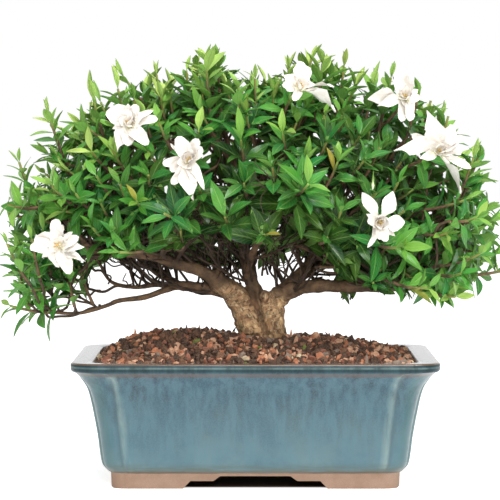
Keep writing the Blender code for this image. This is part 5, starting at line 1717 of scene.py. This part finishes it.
def carve_bark(mesh, stations, look):
    """Pushes the skin in and out as flaking bark, and stores its age, its grain, and its cracks and painted
    shade.
    """
    tree = search_tree([point for point, _, _ in stations])
    ages, grains, crack_and_shade_values, moved = [], [], [], []
    for vertex in mesh.vertices:
        spot = vertex.co
        near = tree.find_n(spot, 3)
        weights = [1 / (distance + 0.002) for _, _, distance in near]
        along = sum((stations[i][2] * w for (_, i, _), w in zip(near, weights)), Vector()).normalized()
        radius = sum(stations[i][1] * w for (_, i, _), w in zip(near, weights)) / sum(weights)
        age = within((radius - 0.0035) / 0.0060)
        smooth_from = 0.156 + 0.010 * within(-spot.x / 0.02)
        if spot.z > smooth_from:
            age *= max(0.0, 1 - (spot.z - smooth_from) / 0.030)
        grain = spot - along * (0.86 * spot.dot(along))
        rough = (noise.noise(grain * 300) * 0.55 + noise.noise(grain * 700) * 0.30
                 + noise.noise(spot * 190) * 0.45)
        crease_x = read_table(CREASE, -spot.z) + 0.0012 * noise.noise(spot * 90)
        crease = math.exp(-((spot.x - crease_x) / 0.0024) ** 2) * within((0.1700 - spot.z) / 0.006)
        depth = rough * look.bark_depth * (0.25 + 0.75 * min(1.0, radius / 0.009))
        depth -= look.crease_depth * crease
        # The left stem lies in the right one's shade
        dim = 0.34 * within((crease_x - spot.x) / 0.008) * within((spot.z - 0.128) / 0.03)
        ages.append(age)
        grains.append(grain)
        # Darker where the bark is pushed in, and painted shade in the groove between the trunks and on the
        # left stem
        crack_and_shade_values.append(within(max(0.8 * crease, dim, -rough * 1.6 - 0.25)))
        moved.append(spot + vertex.normal * depth)
    for vertex, place in zip(mesh.vertices, moved):
        vertex.co = place
    store(mesh, "age", "FLOAT", ages)
    store(mesh, "grain", "FLOAT_VECTOR", grains)
    store(mesh, "hollow", "FLOAT", crack_and_shade_values)


# Leaves and petals ----------------------------------------------------------------------


def blade_shape(name, stations, columns, width_at, lift, thickness):
    """A closed thin blade one unit long, its root at the origin, its tip on +Y, its face +Z."""
    made = bmesh.new()
    marks = made.verts.layers.float_vector.new("blade")

    def vertex(t, c, side):
        point = Vector((c * width_at(t), t, lift(t, c)))
        if side < 0:
            point.z -= thickness
        corner = made.verts.new(point)
        corner[marks] = (t, c, side)
        return corner

    rings = []
    for t in stations[1:-1]:
        top = [vertex(t, c, 0.0 if abs(c) == 1 else 1.0) for c in columns]
        rings.append(top + [vertex(t, c, -1.0) for c in reversed(columns[1:-1])])
    skin_to_tips(made, rings, vertex(stations[0], 0.0, 0.0), vertex(stations[-1], 0.0, 0.0))
    for edge in made.edges:
        edge.smooth = not all(corner[marks][2] == 0.0 for corner in edge.verts)
    return mesh_from(made, name)


def leaf_shapes():
    """Leaf kinds: broad, long, waved, young and tip."""
    kinds = ((0.182, 0.12, 0.20, 0.000, 0.8), (0.155, 0.08, 0.36, 0.014, 1.0),
             (0.176, 0.18, 0.24, 0.036, 1.3), (0.148, 0.26, 0.14, 0.012, 0.7),
             (0.130, 0.42, -0.06, 0.004, 0.5))
    widest = 0.48
    meshes = []
    for number, (half, fold, arch, wave, turns) in enumerate(kinds):

        def width_at(t):
            if t < widest:
                return max(0.018, half * math.sin(0.5 * math.pi * t / widest) ** 1.25)
            return max(0.018, half * (1 - ((t - widest) / 0.52) ** 1.7))

        def lift(t, c):
            waved = wave * abs(c) * math.sin(turns * math.tau * t + c)
            return 0.55 * arch * t - arch * t * t + fold * abs(c) * width_at(t) * 2 + waved

        meshes.append(blade_shape(f"leaf_shape_{number}", (0.0, 0.09, 0.26, 0.44, 0.62, 0.78, 0.92, 1.0),
                                  (-1.0, 0.0, 1.0), width_at, lift, 0.016))
    return meshes


def petal_shapes():
    """Petal kinds, one unit wide: pointed, broad, strap, inner; and a sepal."""
    kinds = ((0.18, -0.36, 0.40, 0.065), (0.28, -0.24, 0.34, 0.085), (0.22, -0.30, 0.46, 0.045),
             (0.55, 0.16, 0.20, 0.050), (0.30, 0.10, 0.00, 0.0))
    meshes = []
    stations = (0.0, 0.05, 0.16, 0.30, 0.45, 0.60, 0.74, 0.87, 0.96, 1.0)
    for number, (cup, bend, twist, ruffle) in enumerate(kinds):

        def width_at(t):
            if number == 1:
                return 0.5 * math.sin(math.pi * min(0.965, 0.10 + 0.84 * t ** 0.90)) ** 0.60
            if number == 2:
                return 0.5 * max(0.30 - 0.2 * t, math.sin(math.pi * min(0.985, t ** 1.45)) ** 0.75)
            if number == 4:
                return 0.5 * math.sin(math.pi * min(1.0, 0.25 + 0.75 * t)) ** 0.8
            return 0.5 * math.sin(math.pi * min(1.0, 0.10 + 0.90 * t ** 0.82)) ** 0.86

        def lift(t, c):
            sway = twist * c * width_at(t) * math.sin(3.0 * t - 0.4)
            wave = ruffle * abs(c) * math.sin(11 * t + 1.5 * c)
            return 0.18 * t + bend * t ** 2.3 + cup * abs(c) ** 1.8 * width_at(t) + sway + wave

        meshes.append(blade_shape(f"petal_shape_{number}", stations, (-1.0, -0.55, 0.0, 0.55, 1.0),
                                  width_at, lift, 0.026))
    return meshes


def anther_shape():
    """A slim spindle one unit long, for anthers and the style."""
    made = bmesh.new()
    marks = made.verts.layers.float_vector.new("blade")
    rings = []
    for t, radius in ((0.06, 0.05), (0.25, 0.11), (0.6, 0.15), (0.88, 0.09)):
        angles = [math.tau * i / 6 for i in range(6)]
        rings.append([made.verts.new((radius * math.cos(a), t, radius * math.sin(a))) for a in angles])
        for vertex in rings[-1]:
            vertex[marks] = (t, 0, 1)
    root, tip = made.verts.new((0, 0, 0)), made.verts.new((0, 1, 0))
    tip[marks] = (1, 0, 1)
    skin_to_tips(made, rings, root, tip)
    return mesh_from(made, "anther_shape")


def at_share(line, share):
    place = share * (len(line) - 1)
    index = min(int(place), len(line) - 2)
    return line[index].lerp(line[index + 1], place - index), index


def out_share(point):
    """How far out in the canopy a point is: 0 in its middle, 1 at its outside."""
    return math.sqrt(sum((way / reach) ** 2 for way, reach in zip(point - CANOPY_CENTRE, CANOPY_REACH)))


def fits(points, wood_tree, radii):
    """Whether a leaf's points stay in the canopy's outline, off the wood and out of blooms."""
    for point in points:
        if not (all(CAD_LOW[i] + 0.002 < point[i] < CAD_HIGH[i] - 0.002 for i in (0, 1))
                and 0.124 < point.z < CAD_HIGH.z - 0.0015):
            return False
        below = 0.004 if point.y < CROWN_FRONT else 0.030 if abs(point.x) < 0.09 else 0.008
        if point.z > read_table(SKYLINE, point.x) + 0.004:
            return False
        if point.z < read_table(UNDERSIDE, point.x) - below:
            return False
        if (abs(point.x) < 0.145 and point.z < 0.142) or blocks_bloom(point):
            return False
        _, index, distance = wood_tree.find(point)
        if distance < radii[index] + 0.0015:
            return False
    return True


def youth_and_light_at(tip, chance, height_share):
    """How young a shoot's leaves look, and how lit: younger high up and far out, and less so in the middle,
    where painted shade darkens them; painted light brightens both sides lower down.
    """
    middle = 1 - height_share
    youth_and_light = chance.uniform(-0.19, 0.19) + 0.46 * height_share - 0.06
    youth_and_light += 0.35 * max(0.0, out_share(tip) - 0.75)
    # Painted shade in the middle, painted light at both sides lower down
    youth_and_light -= 0.16 * math.exp(-(tip.x / 0.10) ** 2) * middle
    youth_and_light -= 0.04 * math.exp(-(tip.x / 0.12) ** 2)
    youth_and_light += 0.22 * within((abs(tip.x) - 0.09) / 0.06) * middle
    return youth_and_light - 0.10 * within((tip.x - 0.03) / 0.06) * height_share


def plan_leaves(shoots, look, wood_tree, radii):
    """Rows for each leaf of each shoot: whorls of three, smaller and steeper to the tip."""
    rows = []
    for number, (line, bloom) in enumerate(shoots):
        chance = random.Random(look.seed * 1000 + number)
        tip = line[-1]
        full = leaf_share(tip) * chance.uniform(0.80, 1.14) * look.leaf_length
        tallest = SPEAR[0] < tip.x < SPEAR[1]
        spear = bloom is None and tip.z > read_table(SKYLINE, tip.x) - 0.026 and (
            chance.random() < 0.55 or tallest)
        length = sum((b - a).length for a, b in zip(line, line[1:]))
        frames = frames_along(line)
        height_share = within((tip.z - 0.20) / 0.17)
        youth_and_light = youth_and_light_at(tip, chance, height_share)
        whorls = max(3, round(length / look.whorl_spacing))
        turn = chance.uniform(0, math.tau)
        for whorl in range(whorls + 1):
            share = 0.06 + 0.92 * whorl / whorls
            if bloom is not None and share > 0.72:
                break
            at_tip = whorl == whorls and bloom is None
            centre, index = at_share(line, share)
            side, other, axis = frames[index]
            long = full * (1.04 - 0.34 * share ** 1.6) * chance.uniform(0.94, 1.06)
            spread = 78 - 34 * share ** 1.4
            if at_tip:
                long = full * chance.uniform(0.58, 0.86)
                spread = chance.uniform(10, 16) if spear else chance.uniform(26, 52)
                if spear and tallest:
                    long, spread = 0.031, 5
            turn += math.radians(60) + chance.uniform(-0.12, 0.12)
            for i in range(3):
                if chance.random() < 0.08:
                    continue
                out = swung(turn + math.tau * i / 3 + chance.uniform(-0.22, 0.22), side, other)
                own_spread = spread + chance.uniform(-24, 20)
                own_long = long * chance.uniform(0.68, 1.12)
                row = one_leaf(centre, axis, out, own_spread, own_long, share, at_tip, youth_and_light, height_share,
                               chance, wood_tree, radii)
                if row:
                    rows.append(row)
    return rows


def one_leaf(centre, axis, out, spread, long, share, at_tip, youth_and_light, height_share, chance,
             wood_tree, radii):
    """One leaf's row, bent clear or made smaller if it doesn't fit, or None."""
    for opening, shrink in ((0, 1.0), (-16, 0.94), (10, 0.84), (-26, 0.72)):
        open_by = math.radians(max(8, spread + opening))
        way = (swung(open_by, axis, out) + 0.07 * UP).normalized()
        face = math.sin(open_by) * axis - math.cos(open_by) * out + 0.45 * UP
        face = (face - way * face.dot(way)).normalized()
        size = long * shrink
        points = [centre + way * (size * t) + face * (size * lift)
                  for t, lift in ((0.45, 0.0), (0.75, -0.05), (1.0, -0.12))]
        if not fits(points, wood_tree, radii) or crosses_opening(centre, points[-1], 0.0008, 6):
            continue
        young = share ** 2.2
        tone = 0.20 + 0.28 * young + youth_and_light + 0.20 * (young * height_share) + chance.uniform(-0.15, 0.15)
        # Painted shade: leaves deeper inside the canopy get a darker tone
        tone -= 0.34 * within((0.84 - out_share(centre)) / 0.26)
        if at_tip:
            tone += 0.03
            kind = 4 if spread < 30 else chance.choice((0, 1, 3))
        else:
            kind = chance.choice((0, 0, 1, 2)) if share < 0.72 else chance.choice((0, 1, 3))
        turned = chance.uniform(0.4, 0.8) if chance.random() < 0.006 else 0.0
        scale = (size * chance.uniform(0.94, 1.12), size, size * chance.uniform(0.7, 1.3))
        return (centre + way * 0.0006, way, face, scale, kind, within(tone), turned)
    return None


def build_foliage(look, wood_look, stems, fill):
    """Young stems, and the leaves in three pieces, left, middle and right."""
    shoots = list(stems) + [(line, None) for line in fill]
    lines = []
    for line, bloom in shoots:
        count = len(line) - 1
        thick, thin = 0.0016, 0.0011 if bloom is None else 0.0014
        low, high = CAD_LOW.x + STEM_ROOM, CAD_HIGH.x - STEM_ROOM
        lines.append([(Vector((max(low, min(high, point.x)), point.y, point.z)),
                       thick + (thin - thick) * i / count, 0.34 - 0.32 * i / count)
                      for i, point in enumerate(line)])
    young = stems_along(lines, look.twig_thickness, look.twig_sides,
                        bark_material(wood_look, "young_stem_look", twig=True), "young_stems")
    spots, radii = zip(*(station for limb in LIMBS.values() for station in smooth_line(limb, 6)))
    rows = plan_leaves(shoots, look, search_tree(spots), radii)
    shapes = shape_set("leaf_kind", leaf_shapes())
    material = leaf_material(look)
    pieces = []
    for name, low, high in (
            ("leaves_left", -1.0, -LEAF_SPLIT), ("leaves_middle", -LEAF_SPLIT, LEAF_SPLIT),
            ("leaves_right", LEAF_SPLIT, 1.0)):
        own = [row for row in rows if low <= row[0].x < high]
        pieces.append((set_out(own, shapes, look.leaf_roll, look.seed, material, name), low, high))
    drop_set(shapes)
    return young, pieces, len(rows)


def petals_by_rule(chance):
    """Three rings of petals for a bloom without a line of its own in the table."""
    petals = []
    for count, turn, long, wide, spread, kind in (
            (6, 0, 22, 12, 80, 0), (6, 30, 19, 11, 62, 1), (5, 10, 13, 9, 34, 3)):
        for i in range(count):
            petals.append((turn + 360 * i / count + chance.uniform(-9, 9), long * chance.uniform(0.9, 1.1),
                           wide, spread + chance.uniform(-8, 8), kind))
    return petals


def build_blooms(look, leaf_look):
    """Petals for each bloom, and one piece each for all hearts, all tubes and all sepals."""
    petals = shape_set("petal_kind", petal_shapes())
    spindles = shape_set("anther_kind", [anther_shape()])
    material = petal_material(look)
    pieces, hearts, tubes, sepals = [], [], [], []
    for number, (face, way, _) in enumerate(BLOOMS):
        face, axis = Vector(face), Vector(way).normalized()
        right = UP.cross(axis).normalized()
        if axis.y > 0:
            right = -right
        upright = axis.cross(right) if axis.y < 0 else right.cross(axis)
        chance = random.Random(look.seed + 300 + number)
        rows = []
        for angle, long, wide, spread, kind in PETALS.get(number) or petals_by_rule(chance):
            out = swung(math.radians(angle), right, upright)
            open_by = math.radians(spread + chance.uniform(-4, 4))
            upper = math.sin(open_by) * axis - math.cos(open_by) * out
            rise = 0.0034 * (1 - spread / 90)
            long, wide = 0.001 * long, 0.001 * wide * look.petal_width
            rows.append((face + axis * rise + out * 0.0014, swung(open_by, axis, out), upper,
                         (wide, long, long * chance.uniform(0.8, 1.3)), kind, 0.5, 0.0))
        pieces.append(set_out(rows, petals, look.petal_roll, look.seed + number, material,
                              f"petals_{number + 1}"))
        for i in range(5):
            out = swung(math.tau * (i + chance.uniform(-0.2, 0.2)) / 5, right, upright)
            lie = (out + chance.uniform(0.7, 1.6) * axis).normalized()
            hearts.append((face + axis * 0.0030 + out * 0.0006, lie, axis,
                           (0.0030, 0.0046, 0.0030), 0, 0.5, 0.0))
        hearts.append((face + axis * 0.002, axis, right, (0.0060, 0.0080, 0.0060), 0, 0.5, 0.0))
        back = face - axis * BLOOM_TUBE_LENGTH
        tubes.append([(back + axis * (BLOOM_TUBE_LENGTH * t), radius, age)
                      for t, radius, age in TUBE_STATIONS])
        for i in range(6):
            out = swung(math.tau * i / 6, right, upright)
            sepals.append((back - axis * 0.001 + out * 0.0022, (axis + 0.25 * out).normalized(), -out,
                           (0.0016, 0.0085, 0.0085), 4, 0.45, 0.0))
    root, place, way, size = Vector(BUD[0]), Vector(BUD[1]), Vector(BUD[2]).normalized(), BUD[3]
    tubes.append([(root, 0.0005, 0.0)] + [
        (place + way * t * size, radius * size, 0.8 * age) for t, radius, age in BUD_STATIONS])
    heart = set_out(hearts, spindles, 0.0, look.seed, heart_material(look), "flower_hearts")
    tube = stems_along(tubes, 1.0, 10, tube_material(look), "flower_tubes")
    sepal = set_out(sepals, petals, 0.1, look.seed, leaf_material(leaf_look), "sepals")
    drop_set(petals)
    drop_set(spindles)
    return pieces, (heart, tube, sepal)


# Stage ----------------------------------------------------------------------------------


def area_light(name, place, size, power):
    """A round soft light that looks at the bonsai's middle."""
    data = bpy.data.lights.new(name, "AREA")
    data.shape, data.size, data.energy = "DISK", size, power
    light = placed(name, data)
    light.location = place
    light.rotation_euler = (Vector((0, 0, 0.2)) - Vector(place)).to_track_quat("-Z", "Y").to_euler()


def build_stage(look):
    """The floor, the white room that only the camera and reflections see bright, lights and camera."""
    made = bmesh.new()
    bmesh.ops.create_circle(made, cap_ends=True, segments=96, radius=look.floor_radius)
    floor = finish_mesh(mesh_from(made, "floor"), "floor", floor_material(look))
    world = bpy.data.worlds.new("studio")
    world.use_nodes = True
    background = world.node_tree.nodes["Background"]
    background.inputs["Color"].default_value = (1, 1, 1, 1)
    ray = add(world.node_tree, "ShaderNodeLightPath").outputs
    seen = math_node(world.node_tree, "MAXIMUM", ray["Is Camera Ray"], ray["Is Glossy Ray"])
    strength = between(world.node_tree, seen, look.sky_strength, 1.0)
    world.node_tree.links.new(strength, background.inputs["Strength"])
    bpy.context.scene.world = world
    area_light("key_softbox", (0.25, -2.7, 1.1), 0.8, look.key_power)
    area_light("top_softbox", (0.5, -0.9, 2.3), 1.4, look.top_power)
    data = bpy.data.cameras.new("photo_view")
    data.lens, data.sensor_width = look.lens, 36.0
    data.clip_start, data.clip_end = 0.1, 50.0
    camera = placed("photo_view", data)
    camera.location = (0.0, -look.camera_distance, look.camera_height)
    camera.rotation_euler = (math.pi / 2 - look.camera_down, 0.0, look.camera_turn)
    bpy.context.scene.camera = camera
    bpy.context.scene.view_settings.view_transform = "Standard"
    return floor


# Settings -------------------------------------------------------------------------------


def tint(name, description, *rgb):
    return bpy.props.FloatVectorProperty(name=name, description=description, subtype="COLOR", size=3,
                                         min=0.0, max=1.0, default=linear(*rgb))


def number(name, description, default, low=0.0, high=10.0, **kind):
    return bpy.props.FloatProperty(name=name, description=description, default=default,
                                   min=low, max=high, **kind)


def span(name, description, default, low=0.0, high=10.0):
    return number(name, description, default, low, high, subtype="DISTANCE", unit="LENGTH", precision=4)


def angle(name, description, default, low=-math.pi, high=math.pi):
    return number(name, description, default, low, high, subtype="ANGLE", unit="ROTATION")


def power(name, description, default):
    return number(name, description, default, 0.0, 5000.0, subtype="POWER", unit="POWER")


def whole(name, description, default, low=0, high=5000):
    return bpy.props.IntProperty(name=name, description=description, default=default,
                                 min=low, max=high)


class PotLook(bpy.types.PropertyGroup):
    corner_steps: whole("Corner steps", "Facets round each corner", 8, 3, 24)
    notch_share: number("Corner notch", "Depth of the notches, against the full depth", 0.60, 0.1, 1.0)
    glaze_colour: tint("Glaze", "Main colour of the glaze", 18, 38, 50)
    # Lighter than the main glaze, in part a painted reflection of the white floor
    glaze_low_and_reflection: tint("Lower glaze", "Glaze towards the feet", 80, 104, 108)
    glaze_shadow: tint("Glaze shadow", "Darker patches of the glaze", 34, 72, 88)
    glaze_light: tint("Glaze light", "Lighter runs of the glaze", 66, 98, 108)
    # Also painted highlights: the lighter panel edges and a line along the rim's face
    edge_break_and_highlight: tint("Edge", "Where the glaze breaks over an edge", 120, 138, 132)
    pooled_colour: tint("Pooled glaze", "Where the glaze gathers in grooves", 44, 66, 72)
    stain_colour: tint("Stain", "Purple-brown stains under the rim", 74, 72, 88)
    rim_colour: tint("Rim", "Darker glaze on the rim's face", 20, 36, 36)
    corner_colour: tint("Corner", "Greener glaze on the corners", 44, 88, 86)
    thin_colour: tint("Thin glaze", "Brownish glaze above the feet", 66, 78, 72)
    # Also the painted shadow under the rim's lip
    lip_line_and_shadow: tint("Lip line", "Thin brown line along the rim", 82, 60, 42)
    clay_colour: tint("Clay", "Bare clay of the feet", 146, 121, 104)
    clay_dark: tint("Clay shadow", "Darker patches of the clay", 128, 102, 84)


class SoilLook(bpy.types.PropertyGroup):
    granule_spacing: span("Granule spacing", "Least distance between granules", 0.0043)
    granule_smallest: span("Smallest granule", "Width of the smallest granules", 0.0034)
    granule_largest: span("Largest granule", "Width of the largest granules", 0.0100)
    seed: whole("Seed", "Another seed gives other granules", 12)
    soil_black: tint("Black", "Black granules", 16, 13, 12)
    soil_grey: tint("Grey", "Grey granules", 132, 120, 108)
    soil_dark: tint("Dark brown", "Dark brown granules", 56, 36, 27)
    soil_red: tint("Red-brown", "Red-brown granules", 134, 80, 62)
    soil_orange: tint("Orange-brown", "Orange-brown granules", 190, 120, 84)
    soil_brown: tint("Brown", "Brown granules", 104, 72, 52)
    soil_tan: tint("Tan", "Tan granules", 218, 168, 136)
    soil_pale: tint("Pale", "Pale bits of straw", 222, 204, 168)
    soil_green: tint("Green", "Bits of moss and leaf", 96, 128, 48)


class WoodLook(bpy.types.PropertyGroup):
    wood_voxel: span("Skin fineness", "Size of the skin's cells", 0.0011, 0.0004)
    fused_radius: span("Fused from", "Limbs thicker than this are fused into one skin", 0.0030)
    bark_depth: span("Bark depth", "How far the bark stands in and out", 0.0012)
    crease_depth: span("Groove depth", "Depth of the groove between the two trunks", 0.0022)
    twig_thickness: number("Twig thickness", "Thickness of twigs against the plan", 1.0, 0.2, 3.0)
    bare_twigs: whole("Bare twigs", "Fine twigs under the canopy", 1050)
    twig_sides: whole("Twig sides", "Facets round a twig", 5, 3, 24)
    seed: whole("Seed", "Another seed sways the twigs otherwise", 3)
    bark_colour: tint("Bark", "Main colour of the bark", 158, 120, 84)
    bark_light: tint("Light bark", "Sunlit, newly bared bark", 218, 178, 130)
    bark_pale: tint("Pale flakes", "Palest flakes", 244, 222, 176)
    bark_red: tint("Red bark", "Red-brown patches", 138, 92, 62)
    # Also the painted shade in the groove between the trunks and on the left stem
    bark_dark: tint("Dark bark", "Cracks and hollows", 70, 50, 34)
    bark_green: tint("Green bark", "Greenish film", 140, 132, 92)
    limb_colour: tint("Limb", "Bark of the limbs", 112, 86, 60)
    limb_dark: tint("Dark limb", "Darker patches of the limbs", 46, 34, 24)
    # Painted shade: twigs under the canopy are drawn this dark
    shaded_twig_colour: tint("Bare twigs", "Dark old twigs under the canopy", 44, 31, 21)
    twig_red: tint("Twig", "Woody young stems", 138, 84, 52)
    twig_green: tint("Green stem", "Green young stems", 116, 140, 62)


class LeafLook(bpy.types.PropertyGroup):
    fill_shoots: whole("Fill shoots", "Shoots tried between the solids' sprays", 900)
    shoot_spacing: span("Shoot spacing", "Least distance between the tips of shoots", 0.0252)
    whorl_spacing: span("Whorl spacing", "Distance between whorls of leaves along a shoot", 0.0096, 0.002)
    leaf_length: span("Leaf length", "Length of a full-grown leaf", 0.0360)
    leaf_roll: angle("Leaf roll", "Most that a leaf is rolled about its rib", 0.35, 0.0, 1.5)
    seed: whole("Seed", "Another seed gives other leaves", 7)
    twig_thickness: number("Stem thickness", "Thickness of young stems against the plan", 1.0, 0.2, 3.0)
    twig_sides: whole("Stem sides", "Facets round a young stem", 5, 3, 24)
    # Painted shade of the leaves inside the canopy
    leaf_inner_shade: tint("Inner leaf", "Leaves inside the canopy", 10, 46, 19)
    leaf_deep: tint("Deep leaf", "Oldest leaves", 18, 74, 31)
    leaf_dark: tint("Dark leaf", "Mature leaves", 27, 106, 45)
    leaf_mid: tint("Leaf", "Most leaves", 62, 136, 48)
    leaf_light: tint("Light leaf", "Young leaves", 122, 165, 68)
    leaf_tip: tint("Tip leaf", "Newest leaves", 172, 193, 104)
    leaf_olive: tint("Olive leaf", "Patches of yellower leaves", 104, 144, 40)
    leaf_back: tint("Leaf back", "Underside of the leaves", 126, 166, 84)
    leaf_turned: tint("Turned leaf", "Leaves about to drop", 168, 146, 62)
    vein_colour: tint("Veins", "Midrib and veins", 150, 190, 100)


class BloomLook(bpy.types.PropertyGroup):
    seed: whole("Seed", "Another seed opens the petals otherwise", 5)
    petal_width: number("Petal width", "Width of the petals against the table", 1.22, 0.3, 3.0)
    petal_roll: angle("Petal roll", "Most that a petal is rolled about its rib", 0.42, 0.0, 1.5)
    petal_colour: tint("Petal", "Waxy white of the petals", 235, 232, 225)
    # Partly painted shade of the petals' folds
    petal_shade: tint("Petal shade", "Faint grey-pink of the petals", 208, 198, 188)
    petal_throat: tint("Petal throat", "Petals at their root", 224, 222, 170)
    heart_yellow: tint("Pollen", "Anthers", 226, 196, 110)
    heart_brown: tint("Anther tip", "Tips of the anthers", 186, 140, 78)
    heart_green: tint("Heart", "Root of the anthers", 212, 214, 150)
    calyx_green: tint("Calyx", "Calyx and stalk", 104, 146, 60)
    tube_green: tint("Tube", "Tube of the bloom", 190, 206, 140)


class StageLook(bpy.types.PropertyGroup):
    floor_colour: tint("Floor", "Colour of the studio floor", 250, 250, 250)
    floor_shade: tint("Floor shade", "Faint clouding of the studio floor", 246, 247, 248)
    # Painted shadow on the floor in the gap under the pot
    floor_pot_shadow: tint("Under the pot", "Floor in the gap under the pot", 70, 60, 54)
    floor_radius: span("Floor radius", "How far the floor reaches", 9.0, 0.5, 100.0)
    sky_strength: number("Room light", "Brightness of the white room", 0.46, 0.0, 20.0)
    key_power: power("Key light", "Power of the large front light", 45.0)
    top_power: power("Top light", "Power of the top light", 66.0)
    lens: number("Lens", "Focal length in millimetres", 202.5, 10.0, 800.0)
    camera_distance: span("Camera distance", "How far the camera is from the pot's middle", 2.52, 0.2, 50.0)
    camera_height: span("Camera height", "Height of the camera above the floor", 0.307, 0.0, 10.0)
    camera_down: angle("Camera tilt", "How far the camera looks down", 0.0407)
    camera_turn: angle("Camera turn", "How far the camera is turned left", math.atan(5.3 / 2774))


class BonsaiSettings(bpy.types.PropertyGroup):
    pot: bpy.props.PointerProperty(type=PotLook)
    soil: bpy.props.PointerProperty(type=SoilLook)
    wood: bpy.props.PointerProperty(type=WoodLook)
    leaves: bpy.props.PointerProperty(type=LeafLook)
    blooms: bpy.props.PointerProperty(type=BloomLook)
    stage: bpy.props.PointerProperty(type=StageLook)


# Operators ------------------------------------------------------------------------------


def ride_root(piece, slot, *nodes):
    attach(piece, "root")
    if nodes:
        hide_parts(*nodes)


def canopy_plan(look):
    stems = plan_sprays()
    fill = plan_fill(stems, look)
    return stems, fill, plan_twigs(stems, fill)


class BONSAI_OT_pot(bpy.types.Operator):
    """Makes the glazed pot with its notched corners and stepped feet"""

    bl_idname = "bonsai.pot"
    bl_label = "Glazed Pot"

    def execute(self, context):
        ride_root(build_pot(context.scene.bonsai.pot), "blue_glaze", "pot")
        return {"FINISHED"}


class BONSAI_OT_screens(bpy.types.Operator):
    """Gives the two drain screens their plastic"""

    bl_idname = "bonsai.screens"
    bl_label = "Drain Screens"

    def execute(self, context):
        material = screen_material()
        for name in ("drain_screen_left", "drain_screen_right"):
            give(frame["nodes"][name].data, material)
        return {"FINISHED"}


class BONSAI_OT_soil(bpy.types.Operator):
    """Fills the pot with a bed of soil under loose granules"""

    bl_idname = "bonsai.soil"
    bl_label = "Soil"

    def execute(self, context):
        bed, *layers = build_soil(context.scene.bonsai.soil)
        ride_root(bed, "granules", "soil")
        for layer in layers:
            ride_root(layer, "granules")
        return {"FINISHED"}


class BONSAI_OT_wood(bpy.types.Operator):
    """Grows the trunk, its limbs and its twigs"""

    bl_idname = "bonsai.wood"
    bl_label = "Trunk, Limbs and Twigs"

    def execute(self, context):
        settings = context.scene.bonsai
        _, _, twigs = canopy_plan(settings.leaves)
        trunk, twig_piece = build_wood(settings.wood, twigs)
        ride_root(trunk, "bark", "trunk_and_limbs")
        ride_root(twig_piece, "bark")
        return {"FINISHED"}


class BONSAI_OT_foliage(bpy.types.Operator):
    """Grows the leafy shoots, with whorls of three leaves along each"""

    bl_idname = "bonsai.foliage"
    bl_label = "Leafy Shoots"

    def execute(self, context):
        look = context.scene.bonsai.leaves
        stems, fill, _ = canopy_plan(look)
        young, pieces, count = build_foliage(look, context.scene.bonsai.wood, stems, fill)
        ride_root(young, "leaf_young")
        for piece, low, high in pieces:
            own = [f"spray_{i + 1:02d}" for i, (line, _) in enumerate(stems) if low <= line[-1].x < high]
            ride_root(piece, "leaf_mid", *own)
        print(f"shoots {len(stems) + len(fill)}, leaves {count}")
        return {"FINISHED"}


class BONSAI_OT_blooms(bpy.types.Operator):
    """Opens the white blooms and sets the bud"""

    bl_idname = "bonsai.blooms"
    bl_label = "Blooms and Buds"

    def execute(self, context):
        pieces, others = build_blooms(context.scene.bonsai.blooms, context.scene.bonsai.leaves)
        for number, piece in enumerate(pieces):
            ride_root(piece, "petal_white", f"bloom_{number + 1}")
        for piece in others:
            ride_root(piece, "petal_white")
        return {"FINISHED"}


class BONSAI_OT_stage(bpy.types.Operator):
    """Sets the pale floor, the white room, the lights and the camera"""

    bl_idname = "bonsai.stage"
    bl_label = "Studio"

    def execute(self, context):
        build_stage(context.scene.bonsai.stage)
        return {"FINISHED"}


class BONSAI_PT_panel(bpy.types.Panel):
    """Lists the pieces of the bonsai"""

    bl_label = "Gardenia Bonsai"
    bl_idname = "BONSAI_PT_panel"
    bl_space_type = "VIEW_3D"
    bl_region_type = "UI"
    bl_category = "Bonsai"

    def draw(self, context):
        settings = context.scene.bonsai
        for operator, look in zip(OPERATORS, ("pot", None, "soil", "wood", "leaves", "blooms", "stage")):
            box = self.layout.box()
            box.operator(operator.bl_idname)
            if look:
                group = getattr(settings, look)
                for name in group.bl_rna.properties.keys():
                    if name not in ("rna_type", "name"):
                        box.prop(group, name)


OPERATORS = (BONSAI_OT_pot, BONSAI_OT_screens, BONSAI_OT_soil, BONSAI_OT_wood, BONSAI_OT_foliage,
             BONSAI_OT_blooms, BONSAI_OT_stage)
LOOKS = (PotLook, SoilLook, WoodLook, LeafLook, BloomLook, StageLook, BonsaiSettings)
CLASSES = LOOKS + OPERATORS + (BONSAI_PT_panel,)


def register():
    for item in CLASSES:
        bpy.utils.register_class(item)
    bpy.types.Scene.bonsai = bpy.props.PointerProperty(type=BonsaiSettings)


def unregister():
    del bpy.types.Scene.bonsai
    for item in reversed(CLASSES):
        bpy.utils.unregister_class(item)


def main():
    register()
    bpy.ops.bonsai.pot()
    bpy.ops.bonsai.screens()
    bpy.ops.bonsai.soil()
    bpy.ops.bonsai.wood()
    bpy.ops.bonsai.foliage()
    bpy.ops.bonsai.blooms()
    bpy.ops.bonsai.stage()


if __name__ == "__main__":
    main()
